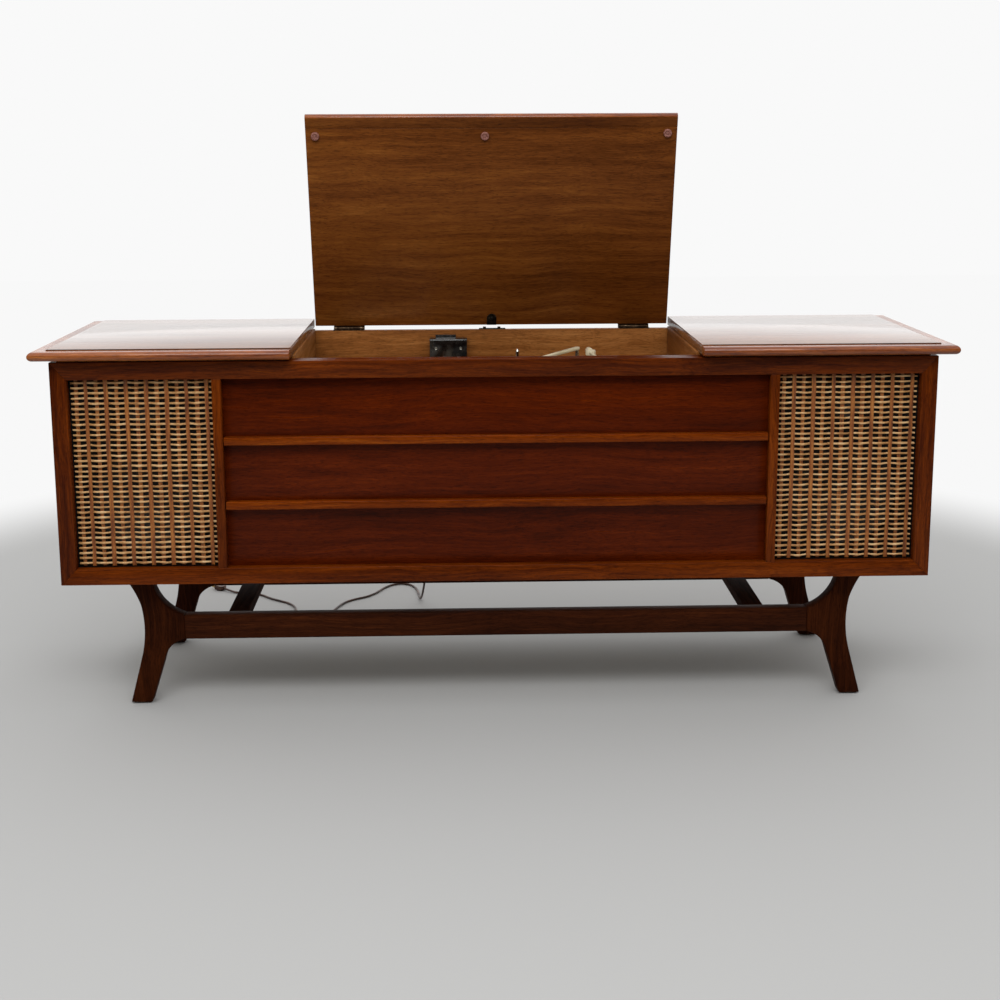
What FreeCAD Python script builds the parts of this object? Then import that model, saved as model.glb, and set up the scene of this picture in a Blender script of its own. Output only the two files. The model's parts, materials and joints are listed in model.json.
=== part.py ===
import FreeCAD, Part
import os
import re
from math import cos, pi, tan

V = FreeCAD.Vector

# A long low stereo console: a walnut case on a sculpted trestle base, woven
# grilles at both ends, and a lidded well over the record changer and controls.
# +X is the right-hand end seen from the front, -Y the front, +Z up.
# The origin is on the floor under the middle of the console's bounding box.

doc = FreeCAD.newDocument("console")
sheet = doc.addObject("Spreadsheet::Sheet", "dims")

DIMENSIONS = {
    # case
    "case_width": 1750, "case_depth": 458, "case_bottom": 274, "case_top": 726,
    "front_y": -225.9, "board": 18,
    # front frame, dividers and the applied strips
    "frame_thick": 19, "stile_wide": 32, "bottom_rail_high": 32.5, "top_rail_high": 35,
    "divider_wide": 18, "divider_inner": 542.5,
    "strip_high": 16, "strip_thick": 17.5, "strip_back": 1.5, "strip_end_gap": 1.5,
    "lower_strip_z": 426, "upper_strip_z": 557,
    # top boards and their solid edging
    "top_thick": 20, "top_gap": 6, "front_overhang": 30, "side_overhang": 32.5,
    "nosing_wide": 29, "nosing_thick": 18.2, "opening_half": 403.5,
    "spacer_wide": 40, "spacer_inset": 12, "spacer_clear": 0.5,
    # well under the lid
    "well_half": 400, "well_rear_gap": 5, "lid_seat_gap": 0.4, "back_rail_z": 640,
    "motor_board_z": 618, "motor_board_thick": 12,
    # lid and its hinges
    "lid_half": 402, "lid_open": 75.65, "pivot_back": 2.5, "lid_rear_gap": 4.5,
    "leaf_thick": 1.5, "leaf_long": 70, "leaf_deep": 17, "hinge_x": 325,
    "barrel_radius": 2.9, "pin_radius": 1.5, "hinge_clear": 0.05, "knuckle_clear": 0.15,
    "bumper_radius": 9, "bumper_high": 5.6, "bumper_reach": 443, "bumper_x": 381,
    "middle_bumper_x": -15, "stop_thick": 2,
    # legs and trestle
    "leg_thick": 30, "leg_front": 53.5, "leg_rear": 403, "glide_high": 3,
    "glide_radius": 11, "foot_middle": 739, "waist_x": 643.7,
    "stretcher_z": 139, "stretcher_high": 50.5, "stretcher_thick": 28,
    "cross_in": 516, "cross_wide": 41, "cross_high": 22,
    # speakers and grilles
    "grille_back": 16, "grille_thick": 6, "grille_gap": 3, "baffle_thick": 12,
    "woofer_radius": 125, "woofer_hole": 108, "woofer_deep": 70, "woofer_x": 702,
    "woofer_z": 440, "tweeter_radius": 45, "tweeter_hole": 38, "tweeter_z": 632,
    "tweeter_deep": 35, "magnet_radius": 50, "magnet_deep": 28,
    # record changer
    "changer_x": 62, "changer_y": 243, "deck_wide": 350, "deck_deep": 300,
    "deck_thick": 10, "deck_z": 640, "platter_radius": 133, "platter_high": 14,
    "platter_lift": 4, "spindle_x": 50, "spindle_y": 245, "spindle_radius": 3.5,
    "spindle_tip_z": 710, "arm_pivot_x": 213, "arm_pivot_y": 306, "arm_z": 692,
    "over_pivot_x": 184, "over_pivot_y": 316, "over_z": 697,
    # controls
    "panel_left": -394, "panel_wide": 230, "panel_deep": 380, "panel_thick": 2,
    "panel_z": 655, "knob_radius": 16, "knob_high": 17, "shaft_radius": 3,
    # amplifier
    "chassis_x": -180, "chassis_wide": 300, "chassis_deep": 150, "chassis_high": 55,
    # mains lead
    "cord_radius": 2.6,
}
for row, (alias, value) in enumerate(DIMENSIONS.items(), start=1):
    sheet.set(f"A{row}", alias)
    sheet.set(f"B{row}", str(value))
    sheet.setAlias(f"B{row}", alias)
doc.recompute()

NAME = re.compile(r"\b(" + "|".join(sorted(DIMENSIONS, key=len, reverse=True)) + r")\b")
pieces = {}


def size(alias):
    """A dimension's value, for shapes that are worked out here."""
    return float(sheet.get(alias))


def bind(thing, prop, text):
    """Ties a property to an expression in the sheet's own words."""
    thing.setExpression(prop, NAME.sub(r"dims.\1", str(text)))


def place(thing, at):
    """Ties an object's place to three expressions."""
    for axis, text in zip("xyz", at):
        bind(thing, f"Placement.Base.{axis}", text)


def add(kind, name):
    return doc.addObject(kind, name)


def piece(name, thing):
    """Makes an object one of the console's sub-parts."""
    thing.Label = name
    pieces[name] = thing
    return thing


def box(name, across, deep, high, at):
    made = add("Part::Box", name)
    bind(made, "Length", across)
    bind(made, "Width", deep)
    bind(made, "Height", high)
    place(made, at)
    return made


DIRECTIONS = {
    "+Z": FreeCAD.Rotation(),
    "-Y": FreeCAD.Rotation(V(1, 0, 0), 90),
    "+Y": FreeCAD.Rotation(V(1, 0, 0), -90),
    "+X": FreeCAD.Rotation(V(0, 1, 0), 90),
}


def cylinder(name, radius, high, at, way="+Z"):
    made = add("Part::Cylinder", name)
    bind(made, "Radius", radius)
    bind(made, "Height", high)
    made.Placement = FreeCAD.Placement(V(), DIRECTIONS[way])
    place(made, at)
    return made


def cone(name, low, high_radius, high, at, way="+Z"):
    made = add("Part::Cone", name)
    bind(made, "Radius1", low)
    bind(made, "Radius2", high_radius)
    bind(made, "Height", high)
    made.Placement = FreeCAD.Placement(V(), DIRECTIONS[way])
    place(made, at)
    return made


def fuse(name, *parts):
    made = add("Part::MultiFuse", name)
    made.Shapes = list(parts)
    return made


def cut(name, base, *tools):
    made = add("Part::Cut", name)
    made.Base = base
    made.Tool = tools[0] if len(tools) == 1 else fuse(name + "_tools", *tools)
    return made


def rounded(name, base, radius, chosen):
    """Rounds the edges of a solid that chosen accepts."""
    doc.recompute()
    made = add("Part::Fillet", name)
    made.Base = base
    edges = [i for i, e in enumerate(base.Shape.Edges, start=1) if chosen(e)]
    made.Edges = [(i, radius, radius) for i in edges]
    return made


def along(axis):
    """Accepts straight edges that run along an axis."""
    def test(edge):
        if not isinstance(edge.Curve, Part.Line):
            return False
        return abs(edge.tangentAt(edge.FirstParameter).dot(axis)) > 0.999
    return test


def outline(name, plane, edges):
    """A PartDesign body with one sketch on its own origin plane."""
    body = add("PartDesign::Body", name)
    sketch = body.newObject("Sketcher::SketchObject", name + "_outline")
    face = [f for f in body.Origin.OriginFeatures if f.Role == plane][0]
    sketch.AttachmentSupport = [(face, "")]
    sketch.MapMode = "FlatFace"
    sketch.addGeometry(edges, False)
    doc.recompute()
    return body, sketch


def pad(body, sketch, length, backwards=False):
    made = body.newObject("PartDesign::Pad", body.Name + "_pad")
    made.Profile = sketch
    bind(made, "Length", length)
    made.Reversed = backwards
    body.Tip = made
    return made


def closed(points):
    """Straight edges through points, back to the first."""
    flat = [V(x, y, 0) for x, y in points]
    return [Part.LineSegment(a, b) for a, b in zip(flat, flat[1:] + flat[:1])]


# ---------------------------------------------------------------- the case
SIDES = {"left": -1, "right": 1}
inner_half = "case_width / 2 - board"
behind_frame = "front_y + frame_thick"
carcass_deep = "case_depth - frame_thick"

for side, sign in SIDES.items():
    edge_x = "-case_width / 2" if sign < 0 else "case_width / 2 - board"
    piece(f"side_panel_{side}", box(
        f"side_{side}", "board", carcass_deep, "case_top - case_bottom",
        (edge_x, behind_frame, "case_bottom")))
    wall_x = "-well_half - board" if sign < 0 else "well_half"
    piece(f"well_side_{side}", box(
        f"wall_{side}", "board", "case_depth - frame_thick - 2 * board - well_rear_gap",
        "case_top + top_gap - lid_seat_gap - case_bottom - board",
        (wall_x, behind_frame + " + board", "case_bottom + board")))

piece("bottom_panel", box(
    "bottom", f"2 * ({inner_half})", carcass_deep, "board",
    (f"-({inner_half})", behind_frame, "case_bottom")))

piece("front_panel", box(
    "front", "2 * (divider_inner + divider_wide / 2)", "board",
    "case_top - case_bottom - board",
    ("-divider_inner - divider_wide / 2", behind_frame, "case_bottom + board")))

piece("well_back", box(
    "back_rail", f"2 * ({inner_half})", "board", "case_top - back_rail_z",
    (f"-({inner_half})", "front_y + case_depth - board", "back_rail_z")))

# The front frame: four members mitred at their corners.
half = size("case_width") / 2
low = size("case_bottom")
high = size("case_top")
inner_x = half - size("stile_wide")
inner_low = low + size("bottom_rail_high")
inner_high = high - size("top_rail_high")
members = {
    "frame_bottom_rail": [(-half, low), (half, low), (inner_x, inner_low), (-inner_x, inner_low)],
    "frame_top_rail": [(-half, high), (-inner_x, inner_high), (inner_x, inner_high), (half, high)],
    "frame_stile_left": [(-half, low), (-inner_x, inner_low), (-inner_x, inner_high), (-half, high)],
    "frame_stile_right": [(half, low), (half, high), (inner_x, inner_high), (inner_x, inner_low)],
}
for name, points in members.items():
    body, sketch = outline(name + "_body", "XZ_Plane", closed(points))
    pad(body, sketch, "frame_thick", backwards=True)
    bind(body, "Placement.Base.y", "front_y")
    piece(name, body)

opening_high = "case_top - top_rail_high - case_bottom - bottom_rail_high"
stiles = [
    box(f"divider_{side}", "divider_wide", "frame_thick", opening_high,
        ("divider_inner" if sign > 0 else "-divider_inner - divider_wide",
         "front_y", "case_bottom + bottom_rail_high"))
    for side, sign in SIDES.items()
]
piece("divider_stiles", fuse("dividers", *stiles))

strips = [
    box(f"{where}_strip", "2 * (divider_inner - strip_end_gap)", "strip_thick", "strip_high",
        ("-divider_inner + strip_end_gap", "front_y + strip_back", f"{where}_strip_z"))
    for where in ("lower", "upper")
]
piece("front_strips", fuse("strips", *strips))

# The back: a hardboard panel with rows of vent holes, held by screws.
BACK_THICK = 5
HOLE_RADIUS = 4
HOLE_PITCH = 30
back_y = f"front_y + case_depth - {BACK_THICK}"
back_low = size("case_bottom") + size("board")
back_sheet = box(
    "back_sheet", f"2 * ({inner_half}) - 2", str(BACK_THICK), "back_rail_z - case_bottom - board - 1",
    (f"-({inner_half}) + 1", back_y, "case_bottom + board"))
vents = []
for centre in (-180, 180):
    for column in range(8):
        for row in range(5):
            vents.append(cylinder(
                f"vent_{len(vents)}", HOLE_RADIUS, 3 * BACK_THICK,
                (str(centre + (column - 3.5) * HOLE_PITCH),
                 f"front_y + case_depth + {BACK_THICK}",
                 str(back_low + 170 + (row - 2) * HOLE_PITCH)), "-Y"))
piece("back_panel", cut("back", back_sheet, *vents))

SCREW_RADIUS = 4
screws = []
for x in (-840, -420, 0, 420, 840):
    for z in ("case_bottom + board + 14", "back_rail_z - 15"):
        screws.append(cylinder(
            f"back_screw_{len(screws)}", SCREW_RADIUS, 1.6,
            (str(x), "front_y + case_depth + 1.6", z), "-Y"))
piece("back_screws", fuse("screws", *screws))

# ------------------------------------------------------------ the fixed top
rear_y = "front_y + case_depth"
tip_y = "front_y - front_overhang"
board_end = "case_width / 2 + side_overhang - nosing_wide"
panel_deep = "case_depth + front_overhang - nosing_wide"
top_z = "case_top + top_gap"
for side, sign in SIDES.items():
    left_x = f"-({board_end})" if sign < 0 else "opening_half"
    piece(f"top_panel_{side}", box(
        f"top_{side}", f"{board_end} - opening_half", panel_deep, "top_thick",
        (left_x, f"{tip_y} + nosing_wide", top_z)))

# A recessed batten frame lifts each top board and leaves a shadow line under it.
# The battens stop just outside the well's walls, which rise between them.
spacers = []
inner_end = "well_half + board + spacer_clear"
for side, sign in SIDES.items():
    start = "-case_width / 2 + spacer_inset" if sign < 0 else inner_end
    long = f"case_width / 2 - spacer_inset - ({inner_end})"
    for where, y in (("front", "front_y + spacer_inset"),
                     ("rear", "front_y + case_depth - spacer_inset - spacer_wide")):
        spacers.append(box(f"spacer_{side}_{where}", long, "spacer_wide", "top_gap",
                           (start, y, "case_top")))
piece("top_spacers", fuse("spacers", *spacers))

# Solid edging with a full round nose runs round the front and the ends.
# It is a little thinner than the boards, which leaves a fine step.
nose = size("nosing_thick") / 2
wide = size("nosing_wide")


def nose_edges():
    """The edging's section: a bar whose outer edge is a half round."""
    low_in, low_out = V(0, -nose, 0), V(nose - wide, -nose, 0)
    high_in, high_out = V(0, nose, 0), V(nose - wide, nose, 0)
    tip = V(-wide, 0, 0)
    return [
        Part.LineSegment(low_out, low_in),
        Part.LineSegment(low_in, high_in),
        Part.LineSegment(high_in, high_out),
        Part.Arc(high_out, tip, low_out),
    ]


CORNER_BLOCK = 200
MITRE_TURN = {"front": {-1: 45, 1: 45}, "end": {-1: -45, 1: 135}}
edge_x = size("case_width") / 2 + size("side_overhang")
edge_y = size("front_y") - size("front_overhang")


def mitred(kind, side, sign, body):
    """Cuts one length's end off along the 45 degree line from the corner."""
    block = box(f"mitre_{kind}_{side}", CORNER_BLOCK, CORNER_BLOCK, "2 * top_thick", (0, 0, 0))
    block.Placement = FreeCAD.Placement(V(), FreeCAD.Rotation(V(0, 0, 1), MITRE_TURN[kind][sign]))
    place(block, (str(sign * edge_x), str(edge_y), f"{top_z} - top_thick / 2"))
    return cut(f"nosing_{kind}_{side}", body, block)


for side, sign in SIDES.items():
    # front length: section in the YZ plane, run along X
    body, sketch = outline(f"nose_front_{side}", "YZ_Plane", nose_edges())
    pad(body, sketch, "case_width / 2 + side_overhang - opening_half")
    place(body, ("opening_half" if sign > 0 else "-case_width / 2 - side_overhang",
                 f"{tip_y} + nosing_wide", f"{top_z} + nosing_thick / 2"))
    # end length: the same section in the XZ plane, run along Y
    end, end_sketch = outline(f"nose_end_{side}", "XZ_Plane", nose_edges())
    pad(end, end_sketch, "case_depth + front_overhang", backwards=sign < 0)
    if sign > 0:
        end.Placement = FreeCAD.Placement(V(), FreeCAD.Rotation(V(0, 0, 1), 180))
    place(end, (f"{sign} * (case_width / 2 + side_overhang - nosing_wide)", tip_y,
                f"{top_z} + nosing_thick / 2"))
    piece(f"nosing_{side}", fuse(
        f"nosing_{side}_pair",
        mitred("front", side, sign, body), mitred("end", side, sign, end)))

# ------------------------------------------------------------------ the lid
# Every lid piece is modelled shut, measured from the hinge pins' axis,
# and its placement swings it open about that axis.
pivot_y = "front_y + case_depth + pivot_back"
pivot_z = "case_top + top_gap / 2"


def open_lid(thing):
    thing.Placement = FreeCAD.Placement(V(), FreeCAD.Rotation(V(-1, 0, 0), size("lid_open")))
    bind(thing, "Placement.Rotation.Angle", "lid_open")
    place(thing, ("0", pivot_y, pivot_z))
    return thing


lid_front = -(size("case_depth") + size("front_overhang") + size("pivot_back"))
lid_back = -size("lid_rear_gap")
lid_edge = size("lid_half")
panel_front = lid_front + wide
body, sketch = outline("lid_body", "XY_Plane", closed(
    [(-lid_edge, panel_front), (lid_edge, panel_front), (lid_edge, lid_back), (-lid_edge, lid_back)]))
pad(body, sketch, "top_thick")
sketch.AttachmentOffset = FreeCAD.Placement(V(0, 0, size("top_gap") / 2), FreeCAD.Rotation())
piece("lid_panel", open_lid(body))

shift = V(panel_front, size("top_gap") / 2 + nose, 0)
lid_nose = nose_edges()
for edge in lid_nose:
    edge.translate(shift)
body, sketch = outline("lid_nose_body", "YZ_Plane", lid_nose)
sketch.AttachmentOffset = FreeCAD.Placement(V(0, 0, -lid_edge), FreeCAD.Rotation())
pad(body, sketch, "2 * lid_half")
piece("lid_nosing", open_lid(body))

bumper_places = {"left": ("-bumper_x", 2), "middle": ("middle_bumper_x", 1), "right": ("bumper_x", 6)}
bumpers = [
    cylinder(f"bumper_{where}", "bumper_radius", "bumper_high",
             (x, f"-bumper_reach - {further}", "top_gap / 2 - bumper_high"))
    for where, (x, further) in bumper_places.items()
]
piece("lid_bumpers", open_lid(fuse("bumpers", *bumpers)))

# Butt hinges: each leaf is a plate with its share of the barrel. The case leaf
# lies on the rail and holds the pin, and the lid leaf stands on the lid's rear edge.
KNUCKLES = 5
GAP_HALF = 3.3
KNUCKLE_GRIP = 0.3


def barrel(name, left, origin, open_knuckles):
    """A hinge's barrel along X, and the blocks that cut some knuckles' room from a leaf."""
    barrel_y, barrel_z = origin
    tube = cylinder(f"{name}_barrel", "barrel_radius", "leaf_long", (left, barrel_y, barrel_z), "+X")
    gaps = [
        box(f"{name}_gap_{index}", f"leaf_long / {KNUCKLES} + 2 * knuckle_clear",
            2 * GAP_HALF, 2 * GAP_HALF,
            (f"{left} + {index} * leaf_long / {KNUCKLES} - knuckle_clear",
             f"{barrel_y} - {GAP_HALF}", f"{barrel_z} - {GAP_HALF}"))
        for index in open_knuckles
    ]
    return tube, gaps


lid_leaves = []
case_leaves = []
for side, sign in SIDES.items():
    left = f"{sign} * hinge_x - leaf_long / 2"
    tube, gaps = barrel(f"case_leaf_{side}", left, (pivot_y, pivot_z), (1, 3))
    plate = box(f"case_leaf_{side}_plate", "leaf_long", "leaf_deep + barrel_radius - 1", "leaf_thick",
                (left, f"{pivot_y} - leaf_deep - barrel_radius", "case_top"))
    pin = cylinder(f"pin_{side}", "pin_radius", "leaf_long - 4", (f"{left} + 2", pivot_y, pivot_z), "+X")
    blank = fuse(f"case_leaf_{side}_blank", plate, tube)
    case_leaves.append(fuse(f"case_leaf_{side}_with_pin",
                            cut(f"case_leaf_{side}", blank, *gaps), pin))
    tube, gaps = barrel(f"lid_leaf_{side}", left, ("0", "0"), (0, 2, 4))
    plate = box(f"lid_leaf_{side}_plate", "leaf_long",
                f"lid_rear_gap - barrel_radius + {KNUCKLE_GRIP}", "leaf_deep + 1",
                (left, "-lid_rear_gap", "-1"))
    bore = cylinder(f"lid_bore_{side}", "pin_radius + hinge_clear", "leaf_long + 2",
                    (f"{left} - 1", "0", "0"), "+X")
    lid_leaves.append(cut(f"lid_leaf_{side}", fuse(f"lid_leaf_{side}_blank", plate, tube), bore, *gaps))
piece("lid_hinge_leaves", open_lid(fuse("lid_leaves", *lid_leaves)))
piece("hinge_case_leaves", fuse("case_leaves", *case_leaves))

# The stop: a round-topped plate on the lid that meets the rail when it is open.
STOP_HALF, STOP_NEAR, STOP_FAR = 11, 5, 21
body, sketch = outline("stop_body", "XY_Plane", [
    Part.LineSegment(V(-STOP_HALF, -STOP_FAR, 0), V(-STOP_HALF, -STOP_NEAR, 0)),
    Part.LineSegment(V(-STOP_HALF, -STOP_NEAR, 0), V(STOP_HALF, -STOP_NEAR, 0)),
    Part.LineSegment(V(STOP_HALF, -STOP_NEAR, 0), V(STOP_HALF, -STOP_FAR, 0)),
    Part.Arc(V(STOP_HALF, -STOP_FAR, 0), V(0, -STOP_FAR - STOP_HALF, 0), V(-STOP_HALF, -STOP_FAR, 0)),
])
sketch.AttachmentOffset = FreeCAD.Placement(
    V(0, 0, size("top_gap") / 2 - size("stop_thick")), FreeCAD.Rotation())
pad(body, sketch, "stop_thick")
piece("lid_stop", open_lid(body))

# ---------------------------------------------------------- legs and trestle
# One leg: a splayed foot, a branch that meets the stretcher and a flared head.
FOOT_OUT, FOOT_IN = 760.5, 717.3
ANKLE_Z, ANKLE_OUT, ANKLE_IN = 96, 735.6, 688
WAIST = V(726.4, 160, 0)
NECK = V(731.5, 212, 0)
FLARE = V(743, 240, 0)
HEAD_OUT, HEAD_IN = 764.5, 707.5
ARMPIT_TOP = V(686.5, 218.5, 0)
ARMPIT_LOW = V(675.5, 121, 0)


def leg_edges(sign):
    """The leg's outline in the XZ plane; sign -1 mirrors it to the left."""
    def at(x, z):
        return V(sign * x, z, 0)

    def swap(v):
        return V(sign * v.x, v.y, 0)
    waist_x = size("waist_x")
    low_z = size("stretcher_z")
    foot_z = size("glide_high")
    top = size("case_bottom")
    shoulder = low_z + size("stretcher_high")
    ankle_out, ankle_in = at(ANKLE_OUT, ANKLE_Z), at(ANKLE_IN, ANKLE_Z)
    return [
        Part.LineSegment(at(FOOT_IN, foot_z), at(FOOT_OUT, foot_z)),
        Part.LineSegment(at(FOOT_OUT, foot_z), ankle_out),
        Part.Arc(ankle_out, swap(WAIST), swap(NECK)),
        Part.Arc(swap(NECK), swap(FLARE), at(HEAD_OUT, top)),
        Part.LineSegment(at(HEAD_OUT, top), at(HEAD_IN, top)),
        Part.Arc(at(HEAD_IN, top), swap(ARMPIT_TOP), at(waist_x, shoulder)),
        Part.LineSegment(at(waist_x, shoulder), at(waist_x, low_z)),
        Part.Arc(at(waist_x, low_z), swap(ARMPIT_LOW), ankle_in),
        Part.LineSegment(ankle_in, at(FOOT_IN, foot_z)),
    ]


ENDS = {"front": "leg_front", "rear": "leg_rear"}
glides = []
for side, sign in SIDES.items():
    for end, inset in ENDS.items():
        body, sketch = outline(f"leg_{end}_{side}_body", "XZ_Plane", leg_edges(sign))
        pad(body, sketch, "leg_thick", backwards=True)
        bind(body, "Placement.Base.y", f"front_y + {inset}")
        piece(f"leg_{end}_{side}", body)
        glides.append(cylinder(f"glide_{end}_{side}", "glide_radius", "glide_high",
                               (f"{sign} * foot_middle", f"front_y + {inset} + leg_thick / 2", "0")))
piece("foot_glides", fuse("glides", *glides))

for end, inset in ENDS.items():
    front = f"front_y + {inset}"
    piece(f"stretcher_{end}", box(f"stretcher_{end}_bar", "2 * waist_x", "stretcher_thick",
                                  "stretcher_high", ("-waist_x", front, "stretcher_z")))
cross = [
    box(f"cross_{side}", "cross_wide", "leg_rear - leg_front - stretcher_thick", "cross_high",
        ("cross_in" if sign > 0 else "-cross_in - cross_wide",
         "front_y + leg_front + stretcher_thick", "stretcher_z + stretcher_high - cross_high"))
    for side, sign in SIDES.items()
]
piece("cross_rails", fuse("crosses", *cross))

# ------------------------------------------------------- speakers and grilles
opening_left = "divider_inner + divider_wide + grille_gap"
grille_wide = "case_width / 2 - stile_wide - divider_inner - divider_wide - 2 * grille_gap"
baffle_from = "divider_inner + divider_wide / 2 + 1"
baffle_wide = f"case_width / 2 - board - 1 - ({baffle_from})"
baffle_front = "front_y + grille_back + grille_thick"
baffles = []
woofers = []
tweeters = []
for side, sign in SIDES.items():
    start = opening_left if sign > 0 else f"-({opening_left}) - ({grille_wide})"
    piece(f"grille_{side}", box(
        f"grille_{side}_sheet", grille_wide, "grille_thick", f"{opening_high} - 2 * grille_gap",
        (start, "front_y + grille_back", "case_bottom + bottom_rail_high + grille_gap")))
    start = baffle_from if sign > 0 else f"-({baffle_from}) - ({baffle_wide})"
    middle = f"{sign} * woofer_x"
    sheet_solid = box(f"baffle_{side}_sheet", baffle_wide, "baffle_thick",
                      "case_top - case_bottom - board - 2",
                      (start, baffle_front, "case_bottom + board + 1"))
    front_at = f"{baffle_front} - 5"
    holes = [
        cylinder(f"woofer_hole_{side}", "woofer_hole", "baffle_thick + 10",
                 (middle, front_at, "woofer_z"), "+Y"),
        cylinder(f"tweeter_hole_{side}", "tweeter_hole", "baffle_thick + 10",
                 (middle, front_at, "tweeter_z"), "+Y"),
    ]
    baffles.append(cut(f"baffle_{side}", sheet_solid, *holes))
    behind = f"{baffle_front} + baffle_thick"
    rim = cylinder(f"rim_{side}", "woofer_radius", 4, (middle, behind, "woofer_z"), "+Y")
    basket = cone(f"basket_{side}", "woofer_radius - 8", "magnet_radius - 8", "woofer_deep - 4",
                  (middle, f"{behind} + 4", "woofer_z"), "+Y")
    hollow = cone(f"cone_{side}", "woofer_hole - 4", "14", "woofer_deep - 16",
                  (middle, behind, "woofer_z"), "+Y")
    magnet = cylinder(f"magnet_{side}", "magnet_radius", "magnet_deep",
                      (middle, f"{behind} + woofer_deep", "woofer_z"), "+Y")
    woofers.append(cut(f"woofer_{side}", fuse(f"woofer_{side}_blank", rim, basket, magnet), hollow))
    horn = cone(f"horn_{side}", "tweeter_radius", "tweeter_radius / 2", "tweeter_deep",
                (middle, behind, "tweeter_z"), "+Y")
    dish = cone(f"dish_{side}", "tweeter_hole - 4", "8", "tweeter_deep / 2",
                (middle, behind, "tweeter_z"), "+Y")
    tweeters.append(cut(f"tweeter_{side}", horn, dish))
piece("speaker_baffles", fuse("baffles", *baffles))
piece("woofers", fuse("woofer_pair", *woofers))
piece("tweeters", fuse("tweeter_pair", *tweeters))

# ----------------------------------------------------------- inside the well
well_front = "front_y + frame_thick + board"
well_deep = "case_depth - frame_thick - 2 * board"
deck_low = "deck_z - deck_thick"
deck_at = ("changer_x - deck_wide / 2", "front_y + changer_y - deck_deep / 2")

board_solid = box("motor_board_sheet", "2 * well_half", well_deep, "motor_board_thick",
                  ("-well_half", well_front, "motor_board_z"))
motor_hole = box("motor_hole", "deck_wide - 2 * 25", "deck_deep - 2 * 25", "3 * motor_board_thick",
                 ("changer_x - deck_wide / 2 + 25", "front_y + changer_y - deck_deep / 2 + 25",
                  "motor_board_z - motor_board_thick"))
control_hole = box("control_hole", "panel_wide - 30", "panel_deep - 30", "3 * motor_board_thick",
                   ("panel_left + 15", "front_y + changer_y - panel_deep / 2 + 15",
                    "motor_board_z - motor_board_thick"))
piece("motor_board", cut("motor_board_cut", board_solid, motor_hole, control_hole))

deck_block = box("deck_block", "deck_wide", "deck_deep", "deck_thick", (*deck_at, deck_low))
deck_block = rounded("deck_rounded", deck_block, 18, along(V(0, 0, 1)))
deck_hollow = box("deck_hollow", "deck_wide - 6", "deck_deep - 6", "deck_thick - 2.5",
                  (f"{deck_at[0]} + 3", f"{deck_at[1]} + 3", deck_low))
spindle_bore = cylinder("spindle_bore", "spindle_radius + 4", "3 * deck_thick",
                        ("spindle_x", "front_y + spindle_y", "deck_z - 2 * deck_thick"))
arm_bore = cylinder("arm_bore", 5.05, "3 * deck_thick",
                    ("arm_pivot_x", "front_y + arm_pivot_y", "deck_z - 2 * deck_thick"))
over_bore = cylinder("over_bore", 4.05, "3 * deck_thick",
                     ("over_pivot_x", "front_y + over_pivot_y", "deck_z - 2 * deck_thick"))
LEVER_X, LEVER_Y = 200, 128
lever_slot = box("lever_slot", 6, 26, "3 * deck_thick",
                 (str(LEVER_X - 3), f"front_y + {LEVER_Y} - 13", "deck_z - 2 * deck_thick"))
piece("changer_deck", cut("deck", deck_block, deck_hollow, spindle_bore, arm_bore, over_bore,
                          lever_slot))

platter_z = "deck_z + platter_lift"
disc = cylinder("platter_disc", "platter_radius", "platter_high",
                ("spindle_x", "front_y + spindle_y", platter_z))
disc_bore = cylinder("platter_bore", "spindle_radius + 0.05", "3 * platter_high",
                     ("spindle_x", "front_y + spindle_y", f"{platter_z} - platter_high"))
disc_hollow = cylinder("platter_hollow", "platter_radius - 4", "platter_high - 5",
                       ("spindle_x", "front_y + spindle_y", platter_z))
hub = cylinder("platter_hub", "spindle_radius + 8", "platter_high - 5",
               ("spindle_x", "front_y + spindle_y", platter_z))
hub_bore = cylinder("hub_bore", "spindle_radius + 0.05", "3 * platter_high",
                    ("spindle_x", "front_y + spindle_y", f"{platter_z} - platter_high"))
piece("platter", fuse("platter_whole", cut("platter_rim", disc, disc_bore, disc_hollow),
                      cut("platter_centre", hub, hub_bore)))

# The spindle, the tonearm's post and rest, and the overarm's post stand on the deck.
SPINDLE_FOOT = 3.4
TIP_HIGH = 5
shaft = cylinder("spindle_shaft", "spindle_radius", f"spindle_tip_z - {TIP_HIGH} - deck_z + 8",
                 ("spindle_x", "front_y + spindle_y", "deck_z - 8"))
tip = cone("spindle_tip", "spindle_radius", "1.2", TIP_HIGH,
           ("spindle_x", "front_y + spindle_y", f"spindle_tip_z - {TIP_HIGH}"))
collar = cylinder("spindle_collar", "spindle_radius + 6", SPINDLE_FOOT,
                  ("spindle_x", "front_y + spindle_y", "deck_z"))
base = cylinder("spindle_base", "spindle_radius + 4", "8",
                ("spindle_x", "front_y + spindle_y", "deck_z - 8"))

arm_base = cylinder("arm_base", 16, "14", ("arm_pivot_x", "front_y + arm_pivot_y", "deck_z"))
arm_stem = cylinder("arm_stem", 5, "arm_z - deck_z - 6 + 8",
                    ("arm_pivot_x", "front_y + arm_pivot_y", "deck_z - 8"))
over_stem = cylinder("over_stem", 4, "over_z - deck_z + 8",
                     ("over_pivot_x", "front_y + over_pivot_y", "deck_z - 8"))
over_foot = cylinder("over_foot", 9, "6", ("over_pivot_x", "front_y + over_pivot_y", "deck_z"))
REST_X, REST_Y = 219, 205
rest_stem = box("rest_stem", 8, 8, "arm_z - deck_z - 4.3",
                (str(REST_X - 4), f"front_y + {REST_Y} - 4", "deck_z"))
piece("changer_posts", fuse("posts", shaft, tip, collar, base, arm_base, arm_stem,
                            over_stem, over_foot, rest_stem))

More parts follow.
